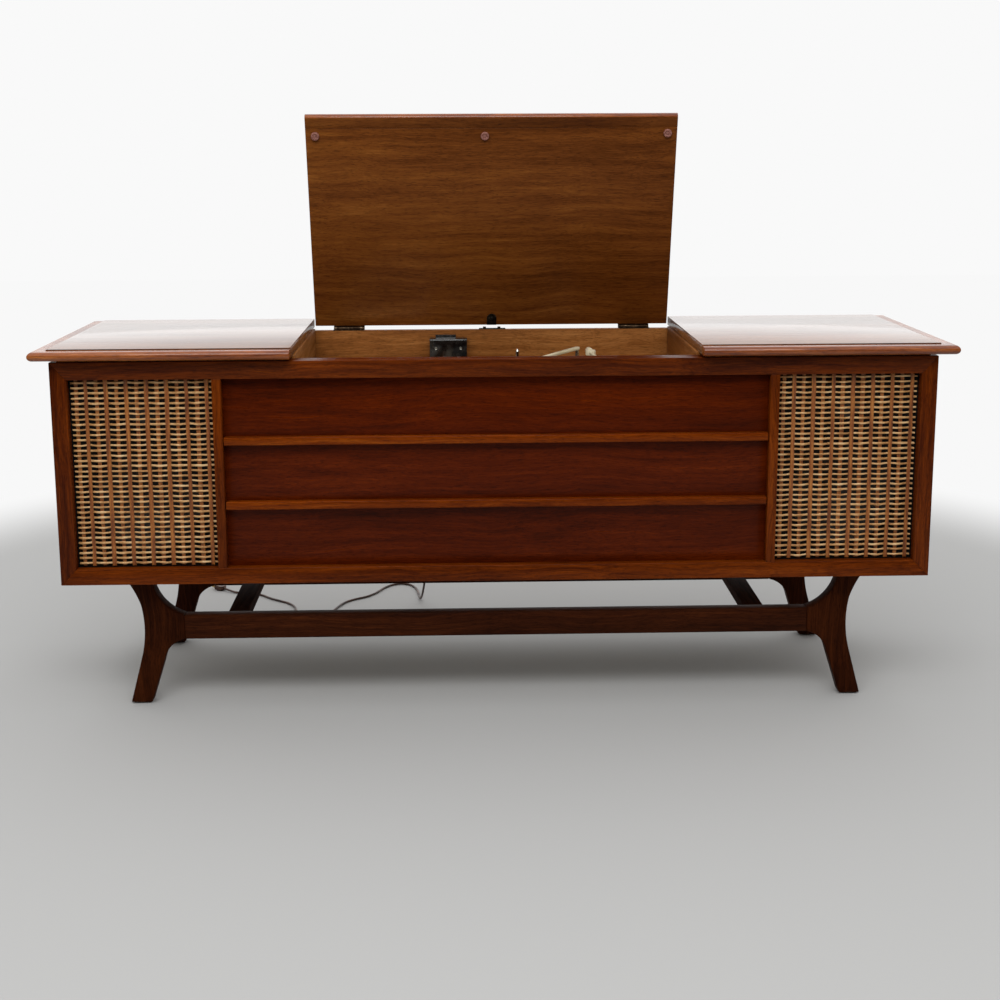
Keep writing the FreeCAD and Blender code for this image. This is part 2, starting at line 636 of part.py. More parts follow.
# Tonearm: a tube with a counterweight, a yoke and a head with its cartridge.
ARM_TILT = -3.4
arm_parts = [
    box("arm_tube", 9, 178, 8, (-4.5, -150, -4)),
    box("arm_head", 18, 44, 12, (-9, -192, -8)),
    cylinder("arm_cap", 11, 12, (0, 0, -6)),
    cylinder("arm_weight", 8, 22, (0, 30, 0), "-Y"),
    box("cartridge", 12, 26, 8, (-6, -188, -16)),
]
arm = fuse("tonearm_whole", *arm_parts)
arm.Placement = FreeCAD.Placement(V(), FreeCAD.Rotation(V(0, 0, 1), -ARM_TILT))
place(arm, ("arm_pivot_x", "front_y + arm_pivot_y", "arm_z"))
piece("tonearm", arm)

# Overarm: a tapered bar that holds the stack of records down.
OVER_TURN = -32.2
body, sketch = outline("overarm_body", "XY_Plane", [
    Part.LineSegment(V(-4, -158, 0), V(-6, 0, 0)),
    Part.Arc(V(-6, 0, 0), V(0, 6, 0), V(6, 0, 0)),
    Part.LineSegment(V(6, 0, 0), V(4, -158, 0)),
    Part.Arc(V(4, -158, 0), V(0, -162, 0), V(-4, -158, 0)),
])
pad(body, sketch, "6")
body.Placement = FreeCAD.Placement(V(), FreeCAD.Rotation(V(0, 0, 1), OVER_TURN))
place(body, ("over_pivot_x", "front_y + over_pivot_y", "over_z"))
piece("overarm", body)

motor = cylinder("motor_body", 38, 52, ("changer_x - 95", "front_y + changer_y + 70",
                                        f"{deck_low} + deck_thick - 2.5 - 60"))
motor_plate = box("motor_plate", 96, 60, 3, ("changer_x - 143", "front_y + changer_y + 40",
                                             f"{deck_low} + deck_thick - 2.5 - 8"))
motor_posts = [
    cylinder(f"motor_post_{i}", 3, 5, (f"changer_x - 95 + {dx}", "front_y + changer_y + 70",
                                       f"{deck_low} + deck_thick - 2.5 - 5"))
    for i, dx in enumerate((-42, 42))
]
piece("changer_motor", fuse("motor", motor, motor_plate, *motor_posts))

lever = box("lever_stem", 4, 6, 22, (str(LEVER_X - 2), f"front_y + {LEVER_Y} - 11", "deck_z - 6"))
lever_top = box("lever_top", 9, 11, 7,
                (str(LEVER_X - 4.5), f"front_y + {LEVER_Y} - 13.5", "deck_z + 16"))
piece("control_lever", fuse("lever", lever, lever_top))

# Control panel with its dial window, on the left of the changer.
panel_y = "front_y + changer_y - panel_deep / 2"
DIAL = {"left": 34, "front": 200, "wide": 162, "deep": 96, "rim": 4}
KNOBS = {"tuning_knob": (165, 120), "volume_knob": (65, 120), "selector_knob": (115, 46)}
plate = box("panel_plate", "panel_wide", "panel_deep", "panel_thick",
            ("panel_left", panel_y, "panel_z"))
skirt = box("panel_skirt", "panel_wide - 8", "panel_deep - 8",
            "panel_z - motor_board_z - motor_board_thick",
            ("panel_left + 4", f"{panel_y} + 4", "motor_board_z + motor_board_thick"))
skirt_hollow = box("skirt_hollow", "panel_wide - 14", "panel_deep - 14",
                   "panel_z - motor_board_z - motor_board_thick",
                   ("panel_left + 7", f"{panel_y} + 7", "motor_board_z + motor_board_thick"))
window = box("window", DIAL["wide"], DIAL["deep"], 12,
             (f"panel_left + {DIAL['left']}", f"{panel_y} + {DIAL['front']}", "panel_z - 5"))
shaft_holes = [
    cylinder(f"{name}_hole", "shaft_radius + hinge_clear", 12,
             (f"panel_left + {x}", f"{panel_y} + {y}", "panel_z - 5"))
    for name, (x, y) in KNOBS.items()
]
piece("control_panel", cut("panel", fuse("panel_blank", plate, cut("skirt", skirt, skirt_hollow)),
                           window, *shaft_holes))
glass_gap = 0.3
piece("dial_glass", box(
    "glass", DIAL["wide"] - 2 * glass_gap, DIAL["deep"] - 2 * glass_gap, "panel_thick",
    (f"panel_left + {DIAL['left'] + glass_gap}", f"{panel_y} + {DIAL['front'] + glass_gap}",
     "panel_z")))
piece("dial_pointer", box(
    "pointer", 2, DIAL["deep"] - 26, 1.5,
    (f"panel_left + {DIAL['left'] + DIAL['wide'] / 2 - 1}", f"{panel_y} + {DIAL['front'] + 13}",
     "panel_z - 4")))
for name, (x, y) in KNOBS.items():
    at_x, at_y = f"panel_left + {x}", f"{panel_y} + {y}"
    grip = cone(f"{name}_grip", "knob_radius", "knob_radius - 2", "knob_high",
                (at_x, at_y, "panel_z + panel_thick + 1"))
    stem = cylinder(f"{name}_stem", "shaft_radius", "panel_thick + 14",
                    (at_x, at_y, "panel_z - 13"))
    piece(name, fuse(name + "_whole", grip, stem))

# Lamp housing on the well's back wall, with two screws in its face.
LAMP = {"left": -141, "wide": 84, "deep": 30, "low": 648, "high": 62}
lamp_y = "front_y + case_depth - board"
lamp = box("lamp_block", LAMP["wide"], LAMP["deep"], LAMP["high"],
           (LAMP["left"], f"{lamp_y} - {LAMP['deep']}", LAMP["low"]))
lamp = rounded("lamp_rounded", lamp, 5, along(V(1, 0, 0)))
lamp_hollow = box("lamp_hollow", LAMP["wide"] - 6, LAMP["deep"] - 6, LAMP["high"] - 3,
                  (LAMP["left"] + 3, f"{lamp_y} - {LAMP['deep'] - 3}", LAMP["low"] - 0.5))
lamp_tab = box("lamp_tab", 46, 14, 7,
               (LAMP["left"] + 13, f"{lamp_y} - 14", LAMP["low"] + LAMP["high"] - 0.5))
piece("lamp_box", fuse("lamp", cut("lamp_shell", lamp, lamp_hollow), lamp_tab))

# ------------------------------------------------------ amplifier in the base
floor_z = "case_bottom + board"
chassis_y = "front_y + 230"
chassis_block = box("chassis_block", "chassis_wide", "chassis_deep", "chassis_high",
                    ("chassis_x", chassis_y, floor_z))
chassis_hollow = box("chassis_hollow", "chassis_wide - 3", "chassis_deep - 3", "chassis_high - 1.5",
                     ("chassis_x + 1.5", f"{chassis_y} + 1.5", floor_z))
piece("amplifier_chassis", cut("chassis", chassis_block, chassis_hollow))

TUBES = [(30, 40, 11, 58), (70, 40, 11, 58), (110, 40, 14, 74), (155, 40, 14, 74),
         (30, 105, 11, 58), (70, 105, 11, 58)]
chassis_top = "case_bottom + board + chassis_high"
tubes = []
for number, (x, y, radius, tall) in enumerate(TUBES):
    at = (f"chassis_x + {x}", f"{chassis_y} + {y}")
    tubes.append(cylinder(f"socket_{number}", radius + 3, 5, (*at, chassis_top)))
    tubes.append(cylinder(f"tube_{number}", radius, tall - radius, (*at, f"{chassis_top} + 5")))
    tubes.append(cone(f"dome_{number}", radius, radius / 3, radius * 0.8,
                      (*at, f"{chassis_top} + 5 + {tall - radius}")))
piece("amplifier_tubes", fuse("tubes", *tubes))

core = box("core", 74, 62, 66, ("chassis_x + 205", f"{chassis_y} + 40", chassis_top))
bell = box("bell", 50, 82, 52, ("chassis_x + 217", f"{chassis_y} + 30", f"{chassis_top} + 7"))
piece("power_transformer", fuse("transformer", core, bell))

# ------------------------------------------------------------- mains lead
# The route runs from the strain relief on the back down to the floor, then in
# loose curves to the plug. Its y values are measured back from the case front.
LEAD_EXIT = (-150, 330)
RELIEF_LONG = 24
ROUTE = [
    (-150, 482, 330), (-150, 508, 330), (-151, 533, 316), (-153, 552, 285), (-155, 567, 238),
    (-158, 581, 180), (-161, 597, 122), (-166, 619, 68), (-173, 650, 26), (-179, 694, 3),
    (-185, 742, 3), (-192, 784, 3), (-209, 815, 3), (-236, 824, 3), (-262, 809, 3),
    (-280, 780, 3), (-294, 746, 3), (-318, 716, 3), (-347, 699, 3), (-370, 675, 3),
    (-384, 640, 3), (-395, 602, 3), (-411, 570, 3), (-440, 553, 3), (-469, 566, 3),
    (-479, 594, 3), (-485, 622, 3), (-492, 649, 3), (-509, 675, 3), (-536, 695, 3), (-562, 714, 3),
    (-585, 742, 3), (-614, 757, 3), (-644, 760, 3), (-669, 769, 4.2), (-691, 789, 7),
]


def arc_route(points):
    """Straight runs joined by tangent arcs; returns the wire and the arcs' radii."""
    edges = []
    radii = []
    last = points[0]
    for before, here, after in zip(points, points[1:], points[2:]):
        into, out = here - before, after - here
        turn = into.getAngle(out)
        reach = 0.45 * min(into.Length, out.Length)
        radii.append(reach / tan(turn / 2))
        start = here - into.normalize() * reach
        end = here + out.normalize() * reach
        inward = (start + end) * 0.5 - here
        centre = here + inward * ((radii[-1] / cos(turn / 2)) / inward.Length)
        middle = centre + (here - centre).normalize() * radii[-1]
        edges.append(Part.LineSegment(last, start).toShape())
        edges.append(Part.Arc(start, middle, end).toShape())
        last = end
    edges.append(Part.LineSegment(last, points[-1]).toShape())
    return Part.Wire(edges), radii


route = [V(x, size("front_y") + y, z) for x, y, z in ROUTE]
wire, radii = arc_route(route)
first_way = (route[1] - route[0]).normalize()
section = Part.Wire(Part.Circle(route[0], first_way, size("cord_radius")).toShape())
lead = add("Part::Feature", "lead")
lead.Shape = wire.makePipeShell([section], True, True)
piece("power_cord", lead)

relief_y = rear_y
relief_x, relief_z = (str(v) for v in LEAD_EXIT)
flange = cylinder("relief_flange", 9, 3, (relief_x, relief_y, relief_z), "+Y")
sleeve = cone("relief_sleeve", 7, "cord_radius + 1.2", RELIEF_LONG - 3,
              (relief_x, f"{relief_y} + 3", relief_z), "+Y")
piece("strain_relief", fuse("relief", flange, sleeve))

# The plug: a moulded body that narrows to the lead, and two flat blades.
PLUG = {"wide": 24, "high": 13.5, "long": 27, "blade": 6.3, "blade_thick": 1.5,
        "blade_long": 16, "apart": 12.7}
plug_block = box("plug_block", PLUG["long"], PLUG["wide"], PLUG["high"],
                 (0, -PLUG["wide"] / 2, -PLUG["high"] / 2))
plug_block = rounded("plug_rounded", plug_block, 5, along(V(0, 1, 0)))
blades = [
    box(f"plug_blade_{i}", PLUG["blade_long"], PLUG["blade_thick"], PLUG["blade"],
        (PLUG["long"], str(y - PLUG["blade_thick"] / 2), -PLUG["blade"] / 2))
    for i, y in enumerate((-PLUG["apart"] / 2, PLUG["apart"] / 2))
]
plug = fuse("plug", plug_block, *blades)
last_way = route[-1] - route[-2]
last_way.z = 0
plug.Placement = FreeCAD.Placement(route[-1], FreeCAD.Rotation(V(1, 0, 0), last_way))
piece("power_plug", plug)

# ---------------------------------------------------------------- write out
doc.recompute()
faults = [o.Name for o in doc.Objects if {"Invalid", "Error"} & set(o.State)]
for name, thing in pieces.items():
    if thing.Shape.isNull() or not thing.Shape.isValid() or thing.Shape.Volume < 1:
        faults.append(name)
if faults:
    raise RuntimeError(f"not sound: {faults}")

cord_long = wire.Length
print(f"lead: {cord_long:.0f} mm, smallest radius {min(radii):.1f} mm")
print("arc radii:", " ".join(f"{r:.0f}" for r in radii))
print("lead volume share:", round(lead.Shape.Volume / (pi * size("cord_radius") ** 2 * cord_long), 4))
whole = FreeCAD.BoundBox()
for name, thing in pieces.items():
    if name not in ("power_cord", "power_plug", "strain_relief"):
        whole.add(thing.Shape.BoundBox)
print(f"box x {whole.XMin:.1f} {whole.XMax:.1f} y {whole.YMin:.1f} {whole.YMax:.1f} "
      f"z {whole.ZMin:.2f} {whole.ZMax:.1f}, {len(pieces)} pieces")
os.makedirs("parts", exist_ok=True)
for name, thing in pieces.items():
    thing.Shape.exportStep(f"parts/{name}.step")
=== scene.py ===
import json
import random
from math import cos, pi, radians, sin

import bmesh
import bpy
from mathutils import Matrix, Vector, noise

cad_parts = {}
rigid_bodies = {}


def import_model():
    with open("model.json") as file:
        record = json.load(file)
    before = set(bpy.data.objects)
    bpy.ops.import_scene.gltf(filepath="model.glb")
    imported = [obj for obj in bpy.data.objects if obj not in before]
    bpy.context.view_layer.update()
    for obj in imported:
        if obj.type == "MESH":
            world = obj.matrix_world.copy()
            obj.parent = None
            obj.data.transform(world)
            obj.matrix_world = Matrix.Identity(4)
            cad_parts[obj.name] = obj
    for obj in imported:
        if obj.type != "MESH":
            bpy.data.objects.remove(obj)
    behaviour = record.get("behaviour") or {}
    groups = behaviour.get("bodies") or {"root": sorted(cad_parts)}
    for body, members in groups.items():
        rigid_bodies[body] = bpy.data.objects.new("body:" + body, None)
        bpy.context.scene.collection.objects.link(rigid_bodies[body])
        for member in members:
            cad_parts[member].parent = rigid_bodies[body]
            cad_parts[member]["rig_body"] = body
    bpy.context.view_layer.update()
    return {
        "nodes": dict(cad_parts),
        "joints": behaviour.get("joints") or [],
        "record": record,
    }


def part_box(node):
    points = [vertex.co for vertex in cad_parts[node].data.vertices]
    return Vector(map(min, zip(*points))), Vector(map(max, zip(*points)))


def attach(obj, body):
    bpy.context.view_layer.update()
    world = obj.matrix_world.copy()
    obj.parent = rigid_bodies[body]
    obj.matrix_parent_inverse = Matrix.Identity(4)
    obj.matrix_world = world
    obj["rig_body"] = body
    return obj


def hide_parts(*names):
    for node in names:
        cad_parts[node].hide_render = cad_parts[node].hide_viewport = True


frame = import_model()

scene = bpy.context.scene
scene.view_settings.view_transform = "Standard"

# ------------------------------------------------------------------ the studio
# A pale floor that runs out into white, as a photographer's sweep does.
# The light is a white room: bright ahead and overhead, dim near the floor in front.


def linear(hexed):
    """An sRGB hex colour as the linear RGBA that a shader works in."""
    parts = [int(hexed[i:i + 2], 16) / 255 for i in (1, 3, 5)]
    return [p / 12.92 if p <= 0.04045 else ((p + 0.055) / 1.055) ** 2.4 for p in parts] + [1]


def add(tree, kind, sets=None, ins=None, stops=()):
    """Adds a node with its settings, a ramp's stops, and values or links for its inputs."""
    node = tree.nodes.new("ShaderNode" + kind)
    for key, value in (sets or {}).items():
        setattr(node, key, value)
    for index, (at, colour) in enumerate(stops):
        stop = node.color_ramp.elements[index] if index < 2 else node.color_ramp.elements.new(at)
        stop.position = at
        stop.color = linear(colour)
    for key, value in (ins or {}).items():
        if isinstance(value, bpy.types.NodeSocket):
            tree.links.new(value, node.inputs[key])
        else:
            node.inputs[key].default_value = value
    return node


FLOOR_HALF = 9
SWEEP_FROM, SWEEP_TO = 1.6, 2.2

form = bmesh.new()
bmesh.ops.create_grid(form, x_segments=1, y_segments=1, size=FLOOR_HALF)
floor_mesh = bpy.data.meshes.new("floor")
form.to_mesh(floor_mesh)
form.free()
floor = bpy.data.objects.new("floor", floor_mesh)
scene.collection.objects.link(floor)

# Painted board: matt pale grey, with white beyond the sweep's edge.
paint = bpy.data.materials.new("pale_floor_paint")
paint.use_nodes = True
tree = paint.node_tree
place = add(tree, "TexCoord")
away = add(tree, "VectorMath", {"operation": "LENGTH"}, {0: place.outputs["Object"]})
fade = add(tree, "MapRange", {"interpolation_type": "SMOOTHSTEP"}, {
    "Value": away.outputs["Value"], "From Min": SWEEP_FROM, "From Max": SWEEP_TO})
seen = add(tree, "LightPath")
share = add(tree, "Math", {"operation": "MULTIPLY"}, {
    0: fade.outputs["Result"], 1: seen.outputs["Is Camera Ray"]})
matt = add(tree, "BsdfDiffuse", None, {"Color": linear("#b4b4b3")})
white = add(tree, "Emission", None, {"Color": linear("#f8f8f8"), "Strength": 1.0})
both = add(tree, "MixShader", None, {
    0: share.outputs["Value"], 1: matt.outputs["BSDF"], 2: white.outputs["Emission"]})
tree.links.new(both.outputs["Shader"], tree.nodes["Material Output"].inputs["Surface"])
floor_mesh.materials.append(paint)

# The room's light by direction: a white wall ahead, a white ceiling, a dim room behind.
WALL_LIGHT, CEILING_LIGHT, ROOM_LIGHT = 1.35, 1.2, 0.05
room = bpy.data.worlds.new("white_room")
scene.world = room
room.use_nodes = True
tree = room.node_tree
way = add(tree, "TexCoord")
parts = add(tree, "SeparateXYZ", None, {0: way.outputs["Generated"]})
wall = add(tree, "MapRange", {"interpolation_type": "SMOOTHSTEP"}, {
    "Value": parts.outputs["Y"], "From Min": -0.15, "From Max": 0.55,
    "To Min": ROOM_LIGHT, "To Max": WALL_LIGHT})
ceiling = add(tree, "MapRange", {"interpolation_type": "SMOOTHSTEP"}, {
    "Value": parts.outputs["Z"], "From Min": 0.2, "From Max": 0.75,
    "To Min": 0.0, "To Max": CEILING_LIGHT})
bright = add(tree, "Math", {"operation": "MAXIMUM"}, {
    0: wall.outputs["Result"], 1: ceiling.outputs["Result"]})
sight = add(tree, "LightPath")
strength = add(tree, "Mix", None, {
    "Factor": sight.outputs["Is Camera Ray"], "A": bright.outputs["Value"], "B": 1.0})
backdrop = tree.nodes["Background"]
backdrop.inputs["Color"].default_value = linear("#f9f9f9")
tree.links.new(strength.outputs["Result"], backdrop.inputs["Strength"])

# One wide softbox hangs above and in front, so the fronts darken towards the floor.
SOFTBOX_AT, SOFTBOX_AIM = Vector((-0.3, -2.2, 2.9)), Vector((0, 0, 0.75))
SOFTBOX_WIDE, SOFTBOX_DEEP, SOFTBOX_WATTS = 2.6, 1.1, 42
softbox = bpy.data.objects.new("softbox", bpy.data.lights.new("softbox", "AREA"))
scene.collection.objects.link(softbox)
softbox.data.shape = "RECTANGLE"
softbox.data.size = SOFTBOX_WIDE
softbox.data.size_y = SOFTBOX_DEEP
softbox.data.energy = SOFTBOX_WATTS
softbox.matrix_world = (Matrix.Translation(SOFTBOX_AT)
                        @ (SOFTBOX_AIM - SOFTBOX_AT).to_track_quat("-Z", "Y").to_matrix().to_4x4())

# The camera stands at eye height of someone sitting, a little left of the middle.
CAMERA_AT = (-0.0707, -2.9121, 1.1436)
TURN, DIP, ROLL = radians(1.3958), radians(9.7125), radians(-0.2465)
camera = bpy.data.objects.new("camera", bpy.data.cameras.new("camera"))
scene.collection.objects.link(camera)
scene.camera = camera
ahead = Vector((sin(TURN) * cos(DIP), cos(TURN) * cos(DIP), -sin(DIP)))
level = Vector((cos(TURN), -sin(TURN), 0))
upward = level.cross(ahead)
side = level * cos(ROLL) + upward * sin(ROLL)
upward = upward * cos(ROLL) - level * sin(ROLL)
camera.matrix_world = Matrix.Translation(CAMERA_AT) @ Matrix((side, upward, -ahead)).transposed().to_4x4()
camera.data.sensor_width = 36
camera.data.lens = 49.857
camera.data.shift_x = 0.00557
camera.data.shift_y = -0.11945

# -------------------------------------------------------------- the mains lead
# A limp two-core lead in brown vinyl comes out of the back, drops to the floor
# and wanders behind the console to its plug, held by a moulded strain relief.


def material(name, shader):
    """A new material, its node tree and its shader, with that shader's plain values set."""
    made = bpy.data.materials.new(name)
    made.use_nodes = True
    bsdf = made.node_tree.nodes["Principled BSDF"]
    for key, value in shader.items():
        bsdf.inputs[key].default_value = value
    return made, made.node_tree, bsdf


def mottled(name, shader, scale, detail, shades):
    """A finish whose colour drifts in patches between shades; scale is patches to a metre."""
    made, tree, bsdf = material(name, shader)
    place = add(tree, "TexCoord")
    patches = add(tree, "TexNoise", None, {
        "Vector": place.outputs["Object"], "Scale": scale, "Detail": detail})
    tone = add(tree, "ValToRGB", None, {"Fac": patches.outputs["Fac"]}, shades)
    tree.links.new(tone.outputs["Color"], bsdf.inputs["Base Color"])
    return made


def settle(name, form, finish, body, slot, *stands_for):
    """Turns a finished bmesh into a piece that rides on a body."""
    mesh = bpy.data.meshes.new(name)
    form.to_mesh(mesh)
    form.free()
    for one in finish if isinstance(finish, list) else [finish]:
        mesh.materials.append(one)
    mesh.shade_smooth()
    mesh.set_sharp_from_angle(angle=radians(38))
    piece = bpy.data.objects.new(name, mesh)
    scene.collection.objects.link(piece)
    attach(piece, body)
    if stands_for:
        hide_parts(*stands_for)
    return piece


case_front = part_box("frame_top_rail")[0].y
LEAD_RADIUS = 0.0026
LEAD_ROUTE = [
    (-0.150, 0.482, 0.330), (-0.150, 0.508, 0.330), (-0.151, 0.533, 0.316), (-0.153, 0.552, 0.285),
    (-0.155, 0.567, 0.238), (-0.158, 0.581, 0.180), (-0.161, 0.597, 0.122), (-0.166, 0.619, 0.068),
    (-0.173, 0.650, 0.026), (-0.179, 0.694, 0.003), (-0.185, 0.742, 0.003), (-0.192, 0.784, 0.003),
    (-0.209, 0.815, 0.003), (-0.236, 0.824, 0.003), (-0.262, 0.809, 0.003), (-0.280, 0.780, 0.003),
    (-0.294, 0.746, 0.003), (-0.318, 0.716, 0.003), (-0.347, 0.699, 0.003), (-0.370, 0.675, 0.003),
    (-0.384, 0.640, 0.003), (-0.395, 0.602, 0.003), (-0.411, 0.570, 0.003), (-0.440, 0.553, 0.003),
    (-0.469, 0.566, 0.003), (-0.479, 0.594, 0.003), (-0.485, 0.622, 0.003), (-0.492, 0.649, 0.003),
    (-0.509, 0.675, 0.003), (-0.536, 0.695, 0.003), (-0.562, 0.714, 0.003), (-0.585, 0.742, 0.003),
    (-0.614, 0.757, 0.003), (-0.644, 0.760, 0.003), (-0.669, 0.769, 0.0042), (-0.691, 0.789, 0.007),
]
curve = bpy.data.curves.new("mains_lead", "CURVE")
curve.dimensions = "3D"
route = curve.splines.new("NURBS")
route.points.add(len(LEAD_ROUTE) - 1)
for point, (x, y, z) in zip(route.points, LEAD_ROUTE):
    point.co = (x, case_front + y, z, 1)
    # The radius is each point's own, so that the curve's bounding box is the lead's.
    point.radius = LEAD_RADIUS
route.order_u = 3
route.use_endpoint_u = True
curve.bevel_depth = 1.0
curve.bevel_resolution = 3
curve.use_fill_caps = True
lead = bpy.data.objects.new("mains_lead", curve)
scene.collection.objects.link(lead)
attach(lead, "cabinet")
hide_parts("power_cord")

# Extruded brown vinyl: a soft dull gloss, dusty in patches from the floor.
DUST_PATCH_MM = 18
vinyl = mottled("extruded_brown_vinyl", {"Roughness": 0.42, "IOR": 1.5}, 1000 / DUST_PATCH_MM, 3.0,
                [(0.35, "#2c160c"), (0.62, "#4a2a19"), (0.8, "#6a5041")])
curve.materials.append(vinyl)

# The plug is one brown moulding: a flat body with finger ribs, a tapered neck
# round the lead, and two folded brass blades.
PLUG_LONG, PLUG_WIDE, PLUG_HIGH = 0.027, 0.024, 0.0135
last, before = Vector(LEAD_ROUTE[-1]), Vector(LEAD_ROUTE[-2])
plug_way = (last - before) * Vector((1, 1, 0))
plug_place = (Matrix.Translation(last + Vector((0, case_front, 0)))
              @ Matrix.Rotation(plug_way.xy.angle_signed(Vector((1, 0))), 4, "Z"))

form = bmesh.new()
bmesh.ops.create_cube(form, size=1, matrix=Matrix.Translation((0.5, 0, 0)))
bmesh.ops.scale(form, vec=(PLUG_LONG, PLUG_WIDE, PLUG_HIGH), verts=form.verts)
neck = [v for v in form.verts if v.co.x < PLUG_LONG / 2]
bmesh.ops.scale(form, vec=(1, 0.55, 0.75), verts=neck)
long_edges = [e for e in form.edges if abs(e.verts[0].co.x - e.verts[1].co.x) > PLUG_LONG / 2]
bmesh.ops.subdivide_edges(form, edges=long_edges, cuts=11, use_grid_fill=True)
for v in form.verts:
    rib = round(v.co.x / PLUG_LONG * 12)
    if 2 <= rib <= 8 and rib % 2:
        v.co.y *= 0.93
bmesh.ops.bevel(form, geom=[e for e in form.edges if e.calc_face_angle(0) > 1.2], offset=0.0032,
                offset_type="OFFSET", segments=4, profile=0.5, affect="EDGES",
                clamp_overlap=True, material=-1)
bmesh.ops.transform(form, matrix=plug_place, verts=form.verts)
rubber_brown = mottled("moulded_brown_vinyl", {"Roughness": 0.36, "IOR": 1.5}, 160.0, 4.0,
                       [(0.38, "#3a1d10"), (0.6, "#55301c"), (0.75, "#7a5a45")])
plug = settle("lead_plug", form, rubber_brown, "cabinet", "plug_plastic", "power_plug")

BLADE_LONG, BLADE_THICK, BLADE_HIGH, BLADES_APART = 0.016, 0.0015, 0.0063, 0.0127
form = bmesh.new()
for y in (-BLADES_APART / 2, BLADES_APART / 2):
    made = bmesh.ops.create_cube(form, size=1, matrix=Matrix.Translation((0.5, 0, 0)))
    bmesh.ops.scale(form, vec=(BLADE_LONG, BLADE_THICK, BLADE_HIGH), verts=made["verts"])
    bmesh.ops.translate(form, vec=(PLUG_LONG, y, 0), verts=made["verts"])
tips = [e for e in form.edges if min(v.co.x for v in e.verts) > PLUG_LONG + BLADE_LONG / 2
        and abs(e.verts[0].co.y - e.verts[1].co.y) > BLADE_THICK / 2]
bmesh.ops.bevel(form, geom=tips, offset=0.0016, offset_type="OFFSET", segments=3, profile=0.5,
                affect="EDGES", clamp_overlap=True, material=-1)
bmesh.ops.transform(form, matrix=plug_place, verts=form.verts)
# Folded brass strip, gone dull: warm metal with small brown stains.
blade_brass = mottled("folded_brass_strip", {"Metallic": 1.0, "Roughness": 0.34}, 420.0, 3.0,
                      [(0.35, "#8d6a35"), (0.65, "#cfae6e")])
blades = settle("plug_blades", form, blade_brass, "cabinet", "plug_plastic")

# The strain relief: a flange against the back and a tapered sleeve with flex slots.
RELIEF_LONG, RELIEF_FLANGE = 0.024, 0.003
CASE_DEEP = 0.458
case_back = case_front + CASE_DEEP
FLANGE_RADIUS, SLEEVE_RADIUS, SLEEVE_TAPER, SLOTS = 0.009, 0.007, 0.0032, 7
form = bmesh.new()
profile = [(0, 0.0002), (0, FLANGE_RADIUS), (RELIEF_FLANGE, FLANGE_RADIUS), (RELIEF_FLANGE, SLEEVE_RADIUS)]
for step in range(1, SLOTS + 1):
    along = RELIEF_FLANGE + step * (RELIEF_LONG - RELIEF_FLANGE) / SLOTS
    radius = SLEEVE_RADIUS - step * SLEEVE_TAPER / SLOTS
    profile += [(along - 0.0011, radius + 0.0002), (along - 0.0009, radius - 0.0007), (along, radius)]
profile.append((RELIEF_LONG, 0.0027))
ring = [form.verts.new((radius, along, 0)) for along, radius in profile]
edges = [form.edges.new(pair) for pair in zip(ring, ring[1:])]
bmesh.ops.spin(form, geom=ring + edges, cent=(0, 0, 0), axis=(0, 1, 0), angle=2 * pi, steps=28,
               use_merge=True, use_normal_flip=False, use_duplicate=False, dvec=(0, 0, 0))
bmesh.ops.remove_doubles(form, verts=form.verts, dist=1e-6)
bmesh.ops.recalc_face_normals(form, faces=form.faces)
bmesh.ops.translate(form, vec=(-0.150, case_back, 0.330), verts=form.verts)
relief = settle("lead_relief", form, rubber_brown, "cabinet", "cord_rubber", "strain_relief")

# ------------------------------------------------------------- the front frame
# Two rails and two stiles of solid walnut, mitred and glued at the corners, then
# stained and sprayed with lacquer. Sanding leaves the arrises a little round.
slot_of = {row["node"]: row["material_slot"] for row in frame["record"]["subparts"]}
# Each grain turns the pattern so that its long way lies along that axis.
GRAIN_TURN = {"X": (0, 0, 0), "Y": (0, 0, radians(90)), "Z": (0, radians(90), 0)}


